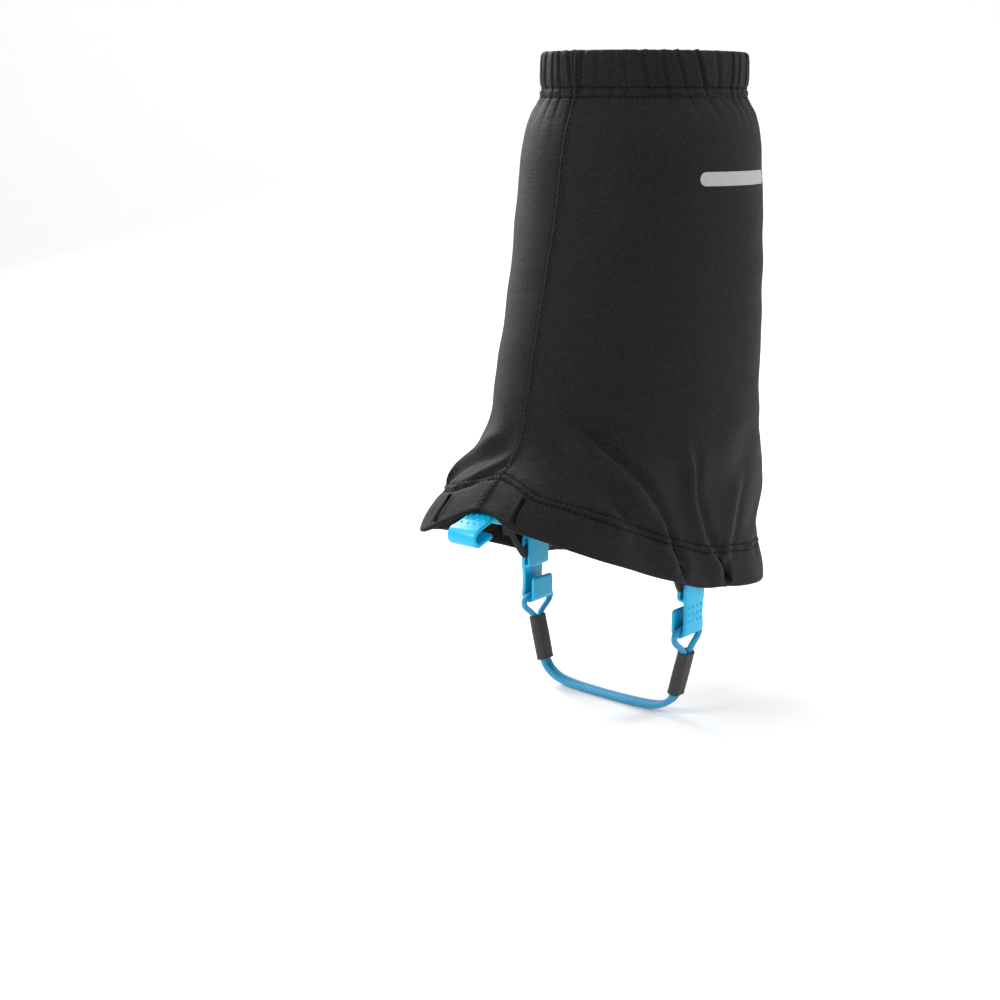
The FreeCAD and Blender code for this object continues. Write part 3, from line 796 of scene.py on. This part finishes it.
def eye_slot():
    half, tall, corner = EYE_HALF_DEEP, EYE_HALF_TALL, 0.5
    points = []
    for x, z, start in ((half, tall, 0), (-half, tall, 90), (-half, -tall, 180), (half, -tall, 270)):
        centre = (x - math.copysign(corner, x), z - math.copysign(corner, z))
        points += arc(centre, corner, start, start + 90, 5)
    return points


def hook_mesh():
    """The moulding as points and faces in hook space: x out of the strap's
    face, y its width, z along it."""
    line = bpy.data.curves.new("hook_outline", "CURVE")
    line.dimensions = "2D"
    line.fill_mode = "BOTH"
    line.extrude = HOOK_WIDE / 2 - EDGE_ROUND
    line.bevel_depth = EDGE_ROUND
    line.bevel_resolution = 3
    line.offset = -EDGE_ROUND
    for points in (hook_outline(), eye_slot()):
        spline = line.splines.new("POLY")
        spline.points.add(len(points) - 1)
        for point, (x, z) in zip(spline.points, points):
            point.co = (x, z, 0, 1)
        spline.use_cyclic_u = True
    holder = bpy.data.objects.new("hook_outline", line)
    mesh = bpy.data.meshes.new_from_object(holder)
    shape = bmesh.new()
    shape.from_mesh(mesh)
    bmesh.ops.remove_doubles(shape, verts=shape.verts, dist=0.01)
    bmesh.ops.recalc_face_normals(shape, faces=shape.faces)
    vertices = []
    for vertex in shape.verts:
        x, z, y = vertex.co
        vertices.append((x, -y * waist(x, z), z))
    faces = [tuple(v.index for v in face.verts) for face in shape.faces]
    shape.free()
    bpy.data.objects.remove(holder)
    bpy.data.meshes.remove(mesh)
    return np.array(vertices), faces


def waist(x, z):
    """How wide the moulding is at a height, against its full width: the strap
    is drawn in, and the lip's and the eye's corners are round."""
    half = HOOK_WIDE / 2
    lip_corner, eye_corner = 2.0, 1.2
    lip_top = -CURL_DROP + LIP_RISE
    if x < CURL_X - CURL_R + 0.1 and -CURL_DROP - 0.5 < z < lip_top + 0.1:
        left = min(lip_top - z, lip_corner)
        return 1.0 - (lip_corner - math.sqrt(lip_corner ** 2 - (lip_corner - left) ** 2)) / half
    if x < EYE_HALF_DEEP - 0.05 and z <= EYE_BOTTOM - 0.1:
        return 1.0
    if x < EYE_HALF_DEEP - 0.05:
        left = min(abs(z - EYE_BOTTOM), abs(z + EYE_BOTTOM), eye_corner)
        return 1.0 - 0.5 * (eye_corner - math.sqrt(eye_corner ** 2 - (eye_corner - left) ** 2)) / half
    if z > EYE_BOTTOM + 0.6:
        return 1.0
    t = (z + CURL_DROP) / (EYE_BOTTOM + CURL_DROP)
    return 1.0 - 2 * WAIST / HOOK_WIDE * max(0.0, math.sin(math.pi * min(max(t, 0), 1))) ** 0.7


def dots():
    """Raised grip dots on the strap's face."""
    vertices, faces = [], []
    around, rings = 12, 5
    for z in DOT_ROWS:
        for i in range(4):
            y = (i - 1.5) * DOT_STEP
            start = len(vertices)
            for ring in range(rings):
                lift = math.radians(90 * ring / rings)
                for j in range(around):
                    t = 2 * math.pi * j / around
                    r = 0.62 * math.cos(lift)
                    x = EYE_FRONT - 0.05 + 0.5 * math.sin(lift)
                    vertices.append((x, y + r * math.cos(t), z + r * math.sin(t)))
            vertices.append((EYE_FRONT + 0.45, y, z))
            faces += [tuple(start + k for k in face) for face in loft_faces(rings, around)]
            top = start + (rings - 1) * around
            faces += [(top + j, top + (j + 1) % around, start + rings * around) for j in range(around)]
            faces.append(tuple(start + j for j in reversed(range(around))))
    return np.array(vertices), faces


def hook(name, node, body, place):
    """One hook, its points carried into place by a function."""
    vertices, faces = hook_mesh()
    dot_vertices, dot_faces = dots()
    faces = faces + [tuple(len(vertices) + i for i in face) for face in dot_faces]
    piece = new_object(name, place(np.concatenate([vertices, dot_vertices])), faces, smooth_angle=40)
    return stand_in(piece, body, node)


FRONT_SLOPE = math.radians(17.5)
side_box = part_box("lateral_hook")
SIDE_PIVOT = np.array((side_box[1].x / MM - EYE_FRONT - 0.45, STIRRUP_Y, side_box[1].z / MM + EYE_BOTTOM))
lace_joint = next(j for j in frame["record"]["behaviour"]["joints"] if j["name"] == "lace_hook_swing")
FRONT_PIVOT = np.array(lace_joint["pos_m"]) / MM


def place_side(points):
    return points + SIDE_PIVOT


def place_medial(points):
    return (points + SIDE_PIVOT) * (-1, 1, 1)


def place_front(points):
    """Face up and forward, strap sloping down towards the toes."""
    out = np.array((0, -math.sin(FRONT_SLOPE), math.cos(FRONT_SLOPE)))
    along = np.array((0, math.cos(FRONT_SLOPE), math.sin(FRONT_SLOPE)))
    across = np.array((1, 0, 0))
    return FRONT_PIVOT + points[..., :1] * out + points[..., 1:2] * across + points[..., 2:] * along


hooks = [
    hook("lateral_hook_moulding", "lateral_hook", "stirrup", place_side),
    hook("medial_hook_moulding", "medial_hook", "stirrup", place_medial),
    hook("front_hook_moulding", "front_hook", "lace_hook", place_front),
]


# ---------------------------------------------------------------------- tapes
def tape_half(name, node, tack_angle, tail_angle, place, sign):
    """Half of a tape: from its tail behind the hem, through its bar tack, to
    the middle of the hook's eye."""
    hold = TACK_RISE - 1.0
    depth = DOUBLED + 0.5 + TAPE_THICK / 2
    stations = []
    for angle in (tail_angle, (tail_angle + tack_angle) / 2, tack_angle):
        angle = np.array([float(angle)])
        share = hem_share(angle, hold)
        point, normal = cloth_point(angle, share, np.array([depth]))
        down = unit(plain(angle, share + 0.01) - plain(angle, share - 0.01))
        stations.append((point[0], down[0], normal[0]))
    for shift in (0.62, 0.45, 0.3, 0.15, 0.0):
        at = place(np.array([[0.0, sign * shift * HOOK_WIDE, 0.0], [0.0, sign * shift * HOOK_WIDE, -1.0],
                             [1.0, sign * shift * HOOK_WIDE, 0.0]]))
        stations.append((at[0], at[1] - at[0], at[2] - at[0]))
    knots = np.array([0, 1, 2, 4, 4.6, 5, 5.4, 5.8])
    steps = np.linspace(0, 5.8, 60)
    lines = [np.array([station[k] for station in stations]) for k in range(3)]
    centre, down, out = [np.stack([cubic(knots, line[:, axis], np.gradient(line[:, axis], knots), steps)
                                   for axis in range(3)], -1) for line in lines]
    down = unit(down)
    out = unit(out - down * np.einsum("ij,ij->i", out, down)[:, None])
    half_tall, half_thick = TAPE_TALL / 2, TAPE_THICK / 2
    section = [(half_tall - 0.25, half_thick), (half_tall, half_thick - 0.2), (half_tall, -half_thick + 0.2),
               (half_tall - 0.25, -half_thick)]
    section += [(half_tall * f, -half_thick) for f in (0.5, 0, -0.5)]
    section += [(-a, -b) for a, b in section[:4]]
    section += [(half_tall * f, half_thick) for f in (-0.5, 0, 0.5)]
    rings = np.stack([centre + down * a + out * b for a, b in section], 1)
    run = run_along(centre)
    uvs = np.stack([np.repeat(run, len(section)), np.tile([a for a, b in section], len(run))], -1)
    piece = new_object(name, rings.reshape(-1, 3), capped(len(run), len(section)), smooth_angle=50,
                       uvs=uvs * MM)
    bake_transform(piece)
    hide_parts(node)
    return piece


tapes = []
for i, (side_name, sign) in enumerate((("near", -1), ("far", 1))):
    tapes.append(tape_half("front_tape_" + side_name, "front_tape",
                           FRONT_TACKS[i], FRONT_TAILS[i], place_front, sign))
    tapes.append(tape_half("lateral_tape_" + side_name, "lateral_tape",
                           SIDE_TACKS[i], SIDE_TAILS[i], place_side, sign))
    tapes.append(tape_half("medial_tape_" + side_name, "medial_tape",
                           MEDIAL_TACKS[i], MEDIAL_TAILS[i], place_medial, sign))


# ----------------------------------------------------------------------- cord
CORD_D = 2.8
STRAND_Y = 1.65
CORD_SEAT = 0.3
SLEEVE_TOP_DROP = 11.0
SLEEVE_LONG = 20.0
SLEEVE_LEAN = math.radians(14.0)
UNDERFOOT_DROP = 8.3
END_GAP = 0.2

curl_centre = SIDE_PIVOT + np.array((CURL_X, 0, -CURL_DROP))
sleeve_top = curl_centre - np.array((0, 0, SLEEVE_TOP_DROP))
sleeve_axis = np.array((math.sin(SLEEVE_LEAN), 0, math.cos(SLEEVE_LEAN)))
sleeve_bottom = sleeve_top - sleeve_axis * SLEEVE_LONG


def half_route():
    """The cord's points on the outer side: front strand up, rear strand down."""
    cord_z = curl_centre[2] - (CURL_R - CORD_D / 2 - CORD_SEAT)
    under_z = sleeve_bottom[2] - UNDERFOOT_DROP
    end = HOOK_WIDE / 2
    leave = sleeve_bottom - sleeve_axis * 2.6
    held = leave + sleeve_axis * 6.7
    enter = sleeve_top - sleeve_axis * 2.0
    part_at = sleeve_top + sleeve_axis * 1.0
    points = (
        (8.0, STRAND_Y, under_z - 0.6),
        (sleeve_bottom[0] - 12.5, STRAND_Y, under_z),
        (sleeve_bottom[0] - 5.8, STRAND_Y, under_z + 1.6),
        (leave[0], STRAND_Y, leave[2]),
        (held[0], STRAND_Y, held[2]),
        (enter[0], STRAND_Y, enter[2]),
        (part_at[0], STRAND_Y + 0.7, part_at[2]),
        (sleeve_top[0], end + 3.35, cord_z - 4.4),
        (sleeve_top[0], end + 1.35, cord_z),
    )
    front = [(x, STIRRUP_Y - y, z) for x, y, z in points]
    rear = [(x, STIRRUP_Y + y, z) for x, y, z in reversed(points)]
    return front + rear


def cord_route():
    """All the cord's points, from the ferrule up, round and back to it."""
    lateral = half_route()
    medial = [(-x, y, z) for x, y, z in lateral]
    middle = (sleeve_top + sleeve_bottom) / 2
    joint = np.array((-middle[0], STIRRUP_Y - STRAND_Y, middle[2]))
    up = sleeve_axis * (-1, 1, 1)
    start = tuple(joint + up * END_GAP / 2)
    finish = tuple(joint - up * END_GAP / 2)
    return [start] + medial[5:] + lateral[::-1] + medial[:5] + [finish]


def route_line(points):
    """Smooth line of the cord: its NURBS spline, read as points in mm."""
    line = bpy.data.curves.new("cord_line", "CURVE")
    line.dimensions = "3D"
    spline = line.splines.new("NURBS")
    spline.points.add(len(points) - 1)
    for point, place in zip(spline.points, points):
        point.co = (*(c * MM for c in place), 1)
    spline.order_u = 3
    spline.use_endpoint_u = True
    spline.resolution_u = 10
    holder = bpy.data.objects.new("cord_line", line)
    mesh = bpy.data.meshes.new_from_object(holder)
    path = np.array([tuple(v.co) for v in mesh.vertices]) / MM
    bpy.data.objects.remove(holder)
    bpy.data.meshes.remove(mesh)
    keep = np.concatenate([[True], np.linalg.norm(np.diff(path, axis=0), axis=1) > 1e-4])
    return path[keep]


def cord_piece():
    path = route_line(cord_route())
    run = run_along(path)
    count = int(run[-1] / 0.5)
    even = np.linspace(0, run[-1], count)
    path = read_along(even, run, path)
    around = 20
    side, up = frames(path)
    turns = np.linspace(0, 2 * math.pi, around, endpoint=False)
    ring = np.cos(turns)[None, :, None] * side[:, None] + np.sin(turns)[None, :, None] * up[:, None]
    # sixteen-carrier braid: plaits cross at a slant
    phase = 2 * math.pi * even / 5.2
    plait = (np.cos(4 * turns[None, :] - phase[:, None]) * np.cos(4 * turns[None, :] + phase[:, None]))
    radius = CORD_D / 2 - 0.05 + 0.05 * plait
    rings = path[:, None] + ring * radius[..., None]
    uvs = np.stack([np.repeat(even, around), np.tile(turns / (2 * math.pi) * math.pi * CORD_D, count)], -1)
    piece = new_object("instep_cord_loop", rings.reshape(-1, 3), capped(count, around), uvs=uvs * MM)
    return piece, path


def sleeve(name, node, body, mirror):
    """Rubber sleeve over both strands: flat-oval tube with rounded mouths."""
    inner = CORD_D / 2 + 0.05 + 0.3 + 0.25
    outer = inner + 0.75
    count = 24

    def oval(radius, shift):
        ring = []
        for centre, start in ((STRAND_Y, 0), (-STRAND_Y, 180)):
            for t in np.radians(np.linspace(start, start + 180, count)):
                ring.append((radius * math.cos(t), centre + radius * math.sin(t), shift))
        return ring

    mouth = 0.375
    profile = []
    for t in np.radians(np.linspace(-180, 0, 7)):
        profile.append((inner + mouth + mouth * math.cos(t), mouth + mouth * math.sin(t)))
    for along in np.linspace(mouth, SLEEVE_LONG - mouth, 40)[1:-1]:
        share = along / SLEEVE_LONG
        swell = 0.10 * math.sin(math.pi * share) + 0.035 * math.sin(along * 2.1) * math.sin(math.pi * share)
        profile.append((outer - 0.12 + swell, along))
    for t in np.radians(np.linspace(0, 180, 7)):
        profile.append((inner + mouth + mouth * math.cos(t), SLEEVE_LONG - mouth + mouth * math.sin(t)))
    for along in np.linspace(SLEEVE_LONG - mouth, mouth, 12)[1:-1]:
        profile.append((inner, along))
    rings = np.array([oval(radius, along) for radius, along in profile])
    lean = np.array(((math.cos(SLEEVE_LEAN), 0, -math.sin(SLEEVE_LEAN)), (0, 1, 0),
                     (math.sin(SLEEVE_LEAN), 0, math.cos(SLEEVE_LEAN))))
    points = rings @ lean + sleeve_bottom
    if mirror:
        points = points * (-1, 1, 1)
    faces = loft_faces(len(profile), 2 * count, closed_loft=True)
    piece = new_object(name, points.reshape(-1, 3), faces, smooth_angle=60)
    return stand_in(piece, body, node)


outer_sleeve = sleeve("lateral_cord_sleeve", "lateral_sleeve", "outer_sleeve", False)
inner_sleeve = sleeve("medial_cord_sleeve", "medial_sleeve", "inner_sleeve", True)
cord, cord_path = cord_piece()
stand_in(cord, "stirrup", "instep_cord")


# -------------------------------------------------------------- reflective bar
def reflective_bar():
    """Plain bonded strip near the cuff, with rounded ends, following the cloth."""
    first, last, z, tall = -26.0, 24.0, -49.0, 5.5
    columns, rows = 90, 9
    angle = np.linspace(first, last, columns)
    degree = per_degree(plain(angle, np.full_like(angle, -z / LEVEL_DROP)))
    from_end = np.minimum(angle - first, last - angle) * degree
    round_r = tall / 2
    end_half = np.sqrt(np.clip(round_r ** 2 - (round_r - from_end) ** 2, 0.02, None))
    half = np.where(from_end < round_r, end_half, round_r)
    grid = []
    for depth, order in ((-0.14, 1), (0.12, -1)):
        for t in np.linspace(-1, 1, rows)[::order]:
            share = (-z - half * t) / LEVEL_DROP
            point, _ = cloth_point(angle, share, np.full_like(angle, depth))
            grid.append(point)
    ring = np.stack(grid, 1)
    count = len(grid)
    u = np.repeat(np.cumsum(degree) * (last - first) / columns, count)
    piece = new_object("reflective_strip", ring.reshape(-1, 3), capped(columns, count), smooth_angle=50,
                       uvs=np.stack([u, np.tile(np.arange(count), columns)], -1) * MM)
    return stand_in(piece, "gaiter", "reflective_bar")


strip = reflective_bar()


# ------------------------------------------------------------------ materials
class Shader:
    """Node tree being built for one material."""

    def __init__(self, name, colour, roughness, **sockets):
        self.material = bpy.data.materials.new(name)
        self.material.use_nodes = True
        self.tree = self.material.node_tree
        self.surface = self.tree.nodes["Principled BSDF"]
        self.surface.inputs["Base Color"].default_value = (*colour, 1)
        self.surface.inputs["Roughness"].default_value = roughness
        for socket, value in sockets.items():
            self.surface.inputs[socket.replace("_", " ")].default_value = value
        self.height = None

    def node(self, kind, **settings):
        made = self.tree.nodes.new(kind)
        for key, value in settings.items():
            if key in made.inputs:
                made.inputs[key].default_value = value
            else:
                setattr(made, key, value)
        return made

    def link(self, out, into):
        self.tree.links.new(out, into)

    def coordinates(self, kind, scale):
        place = self.node("ShaderNodeTexCoord")
        mapping = self.node("ShaderNodeMapping", Scale=scale)
        self.link(place.outputs[kind], mapping.inputs["Vector"])
        return mapping.outputs["Vector"]

    def math(self, operation, a, b=None):
        made = self.node("ShaderNodeMath", operation=operation)
        for slot, value in zip(made.inputs, (a, b)):
            if value is None:
                continue
            if isinstance(value, (int, float)):
                slot.default_value = value
            else:
                self.link(value, slot)
        return made.outputs[0]

    def noise(self, where, scale, detail=3.0, roughness=0.55):
        made = self.node("ShaderNodeTexNoise", Scale=scale, Detail=detail, Roughness=roughness)
        self.link(where, made.inputs["Vector"])
        return made.outputs["Fac"]

    def grain(self, scale, detail=3.0, roughness=0.55):
        """Noise in the object's own space, scale turns to the metre."""
        return self.noise(self.coordinates("Object", (1, 1, 1)), scale, detail, roughness)

    def sharpen(self, value, low, high):
        """Spread the values between low and high over 0 to 1."""
        made = self.node("ShaderNodeMapRange", **{"From Min": low, "From Max": high})
        self.link(value, made.inputs["Value"])
        return made.outputs["Result"]

    def split(self, where):
        made = self.node("ShaderNodeSeparateXYZ")
        self.link(where, made.inputs[0])
        return made.outputs

    def wave(self, value, pitch):
        """Sine of a length, one turn each pitch, from 0 to 1."""
        angle = self.math("MULTIPLY", value, 2 * math.pi / pitch)
        return self.math("ADD", self.math("MULTIPLY", self.math("SINE", angle), 0.5), 0.5)

    def mix_colour(self, factor, low, high):
        made = self.node("ShaderNodeMix", data_type="RGBA")
        self.link(factor, made.inputs[0])
        made.inputs[6].default_value = (*low, 1)
        made.inputs[7].default_value = (*high, 1)
        self.link(made.outputs[2], self.surface.inputs["Base Color"])

    def vary_roughness(self, factor, low, high):
        made = self.node("ShaderNodeMapRange", **{"To Min": low, "To Max": high})
        self.link(factor, made.inputs["Value"])
        self.link(made.outputs["Result"], self.surface.inputs["Roughness"])

    def bump(self, height, distance, strength=1.0):
        made = self.node("ShaderNodeBump", Distance=distance, Strength=strength)
        self.link(height, made.inputs["Height"])
        if self.height is not None:
            self.link(self.height, made.inputs["Normal"])
        self.height = made.outputs["Normal"]
        self.link(self.height, self.surface.inputs["Normal"])


def stretch_fabric():
    """Fine matt stretch weave with a slight slub and faint cross creases."""
    s = Shader("stretch_fabric", (0.006, 0.006, 0.0062), 0.62, Sheen_Weight=0.04, Sheen_Roughness=0.4,
               Sheen_Tint=(0.95, 0.96, 1.0, 1), Specular_IOR_Level=0.09)
    uv = s.coordinates("UV", (1, 1, 1))
    u, v, _ = s.split(uv)
    warp = s.wave(u, 0.00062)
    weft = s.wave(v, 0.00055)
    plain_weave = s.math("MULTIPLY", warp, weft)
    opposite = s.math("MULTIPLY", s.math("SUBTRACT", 1.0, warp), s.math("SUBTRACT", 1.0, weft))
    weave = s.math("ADD", plain_weave, opposite)
    slub = s.noise(s.coordinates("UV", (1400, 420, 1)), 1.0, 2.0)
    speck = s.sharpen(s.grain(1300.0, 3.0, 0.7), 0.36, 0.64)
    blotch = s.grain(55.0, 4.0, 0.6)
    creases = s.noise(s.coordinates("Object", (120, 120, 620)), 1.0, 3.0, 0.6)
    tone = s.math("ADD", s.math("MULTIPLY", weave, 0.25), s.math("MULTIPLY", speck, 0.75))
    tone = s.math("ADD", s.math("MULTIPLY", tone, 0.8), s.math("MULTIPLY", blotch, 0.3))
    s.mix_colour(tone, (0.0008, 0.0008, 0.0009), (0.0145, 0.0145, 0.0149))
    s.vary_roughness(blotch, 0.55, 0.74)
    s.bump(creases, 0.0010, 0.5)
    s.bump(slub, 0.0001, 0.5)
    s.bump(speck, 0.00012, 0.5)
    s.bump(weave, 0.00014, 0.7)
    return s.material


def elastic_band():
    s = Shader("elastic_band", (0.02, 0.02, 0.022), 0.7)
    u, v, _ = s.split(s.coordinates("UV", (1, 1, 1)))
    ribs = s.wave(v, 0.0011)
    cross = s.wave(u, 0.0006)
    s.mix_colour(ribs, (0.012, 0.012, 0.013), (0.032, 0.032, 0.035))
    s.bump(ribs, 0.0003, 0.8)
    s.bump(cross, 0.0001, 0.5)
    return s.material


def thread_material():
    # Black thread, coloured darker than the cloth: part of its darkness is painted shade standing in for the
    # shadowed needle holes along each row.
    s = Shader("thread", (0.004, 0.004, 0.0045), 0.75, Specular_IOR_Level=0.06)
    fibre = s.grain(5200.0, 2.0)
    s.mix_colour(fibre, (0.0006, 0.0006, 0.0007), (0.004, 0.004, 0.0045))
    s.bump(fibre, 0.00008, 0.6)
    return s.material


def webbing():
    """Flat webbing: cross ribs with a fine twill over them."""
    s = Shader("webbing", (0.012, 0.012, 0.013), 0.6)
    u, v, _ = s.split(s.coordinates("UV", (1, 1, 1)))
    ribs = s.wave(u, 0.0009)
    slant = s.wave(s.math("ADD", u, v), 0.0007)
    s.mix_colour(s.math("MULTIPLY", ribs, slant), (0.006, 0.006, 0.007), (0.03, 0.03, 0.033))
    s.bump(ribs, 0.00025, 0.8)
    s.bump(slant, 0.0001, 0.5)
    return s.material


def hook_plastic():
    """Satin moulded plastic with a fine spark texture, glossier where handled."""
    s = Shader("hook_plastic", (0.0, 0.37, 0.60), 0.36, Specular_IOR_Level=0.4,
               Subsurface_Weight=0.06, Subsurface_Radius=(0.0006, 0.001, 0.002))
    grain = s.grain(2600.0, 3.0)
    flow = s.noise(s.coordinates("Object", (260, 260, 70)), 1.0, 3.0)
    s.mix_colour(flow, (0.0, 0.335, 0.56), (0.002, 0.40, 0.64))
    s.vary_roughness(s.grain(210.0, 3.0), 0.24, 0.44)
    s.bump(grain, 0.00005, 0.35)
    return s.material


def cord_material():
    """Braided sheath: two sets of plaits crossing at a slant."""
    s = Shader("cord", (0.0, 0.34, 0.60), 0.42, Sheen_Weight=0.15)
    u, v, _ = s.split(s.coordinates("UV", (1, 1, 1)))
    girth = math.pi * CORD_D * MM
    slope_v = s.math("MULTIPLY", v, 0.0052 / girth * 4)
    left = s.wave(s.math("ADD", u, slope_v), 0.0013)
    right = s.wave(s.math("SUBTRACT", u, slope_v), 0.0013)
    plait = s.math("MULTIPLY", left, right)
    fibre = s.grain(4200.0, 2.0)
    tone = s.math("ADD", s.math("MULTIPLY", plait, 0.7), s.math("MULTIPLY", fibre, 0.4))
    s.mix_colour(tone, (0.0, 0.16, 0.34), (0.002, 0.42, 0.70))
    s.bump(plait, 0.00022, 0.7)
    s.bump(fibre, 0.00004, 0.5)
    return s.material


def ferrule_metal():
    s = Shader("ferrule_metal", (0.6, 0.6, 0.6), 0.28, Metallic=1.0)
    drawn = s.noise(s.coordinates("Object", (3000, 3000, 200)), 1.0, 3.0)
    s.mix_colour(drawn, (0.5, 0.5, 0.5), (0.68, 0.68, 0.69))
    s.vary_roughness(drawn, 0.2, 0.4)
    s.bump(drawn, 0.00003, 0.4)
    return s.material


def sleeve_rubber():
    s = Shader("sleeve_rubber", (0.012, 0.012, 0.013), 0.55)
    skin = s.grain(1500.0, 4.0)
    scuff = s.noise(s.coordinates("Object", (400, 400, 90)), 1.0, 4.0)
    s.mix_colour(scuff, (0.006, 0.006, 0.007), (0.022, 0.022, 0.024))
    s.vary_roughness(scuff, 0.42, 0.7)
    s.bump(skin, 0.00008, 0.5)
    return s.material


def reflective_film():
    """Heat-pressed film of tiny glass beads."""
    s = Shader("reflective_film", (0.36, 0.365, 0.37), 0.42)
    beads = s.grain(5200.0, 1.0)
    wear = s.grain(420.0, 4.0)
    tone = s.math("ADD", s.math("MULTIPLY", beads, 0.6), s.math("MULTIPLY", wear, 0.4))
    s.mix_colour(tone, (0.19, 0.192, 0.195), (0.42, 0.425, 0.43))
    s.vary_roughness(wear, 0.3, 0.55)
    s.bump(beads, 0.00006, 0.5)
    return s.material


def paint(objects, material):
    for piece in objects:
        piece.data.materials.clear()
        piece.data.materials.append(material)


paint((lateral_panel, medial_panel), stretch_fabric())
paint((elastic,), elastic_band())
paint(threads, thread_material())
paint(tapes, webbing())
paint(hooks, hook_plastic())
paint((cord,), cord_material())
paint((outer_sleeve, inner_sleeve), sleeve_rubber())
paint((strip,), reflective_film())
metal = ferrule_metal()
for material_slot in frame["nodes"]["cord_ferrule"].material_slots:
    material_slot.material = metal


# -------------------------------------------------------------------- staging
def backdrop():
    """Plain pale floor that curves up into a wall behind the object."""
    floor_z = cad_box[0][2] / MM - 0.2
    reach, rise, bend = 1800.0, 2600.0, 700.0
    profile = [(-reach, 0.0)]
    for t in np.radians(np.linspace(-90, 0, 16)):
        profile.append((reach - bend + bend * math.cos(t), bend + bend * math.sin(t)))
    profile.append((reach, rise))
    away = np.array((-0.643, 0.766))
    across = np.array((0.766, 0.643))
    vertices = []
    for along, up in profile:
        for side in (-2600.0, 2600.0):
            x, y = away * along + across * side
            vertices.append((x, y, floor_z + up))
    faces = [(2 * i, 2 * i + 1, 2 * i + 3, 2 * i + 2) for i in range(len(profile) - 1)]
    floor = new_object("studio_floor", vertices, faces)
    s = Shader("studio_paper", (0.88, 0.88, 0.88), 0.85)
    paper = s.grain(9.0, 4.0)
    s.mix_colour(paper, (0.87, 0.87, 0.872), (0.89, 0.89, 0.89))
    paint((floor,), s.material)


def area_light(name, place, target, size, power, colour=(1, 1, 1)):
    data = bpy.data.lights.new(name, "AREA")
    data.shape = "DISK"
    data.size = size
    data.energy = power
    data.color = colour
    lamp = bpy.data.objects.new(name, data)
    lamp.location = place
    lamp.rotation_euler = (Vector(target) - Vector(place)).to_track_quat("-Z", "Y").to_euler()
    bpy.context.scene.collection.objects.link(lamp)


def camera():
    data = bpy.data.cameras.new("camera")
    data.lens = 59.71
    data.sensor_width = 36
    data.clip_end = 20
    eye = bpy.data.objects.new("camera", data)
    eye.location = (0.4054, -0.5809, -0.0205)
    pitch = math.radians(13.42)
    azimuth = math.radians(40)
    level = math.cos(pitch)
    gaze = Vector((-math.sin(azimuth) * level, math.cos(azimuth) * level, -math.sin(pitch)))
    eye.rotation_euler = gaze.to_track_quat("-Z", "Y").to_euler()
    bpy.context.scene.collection.objects.link(eye)
    bpy.context.scene.camera = eye


backdrop()
middle = (0, -0.03, -0.12)
area_light("key", (-0.55, -1.15, 0.75), middle, 0.8, 16)
area_light("fill", (1.3, -0.6, 0.35), middle, 1.2, 5)
area_light("rim_left", (-1.1, 0.3, 0.5), middle, 0.6, 17)
area_light("rim_right", (0.9, 1.0, 0.6), middle, 0.6, 9)
area_light("top", (0.0, 0.0, 1.5), middle, 1.4, 6)
world = bpy.data.worlds.new("studio")
world.use_nodes = True
world.node_tree.nodes["Background"].inputs["Color"].default_value = (0.95, 0.97, 1.0, 1)
world.node_tree.nodes["Background"].inputs["Strength"].default_value = 0.65
bpy.context.scene.world = world
bpy.context.scene.view_settings.view_transform = "Standard"
camera()
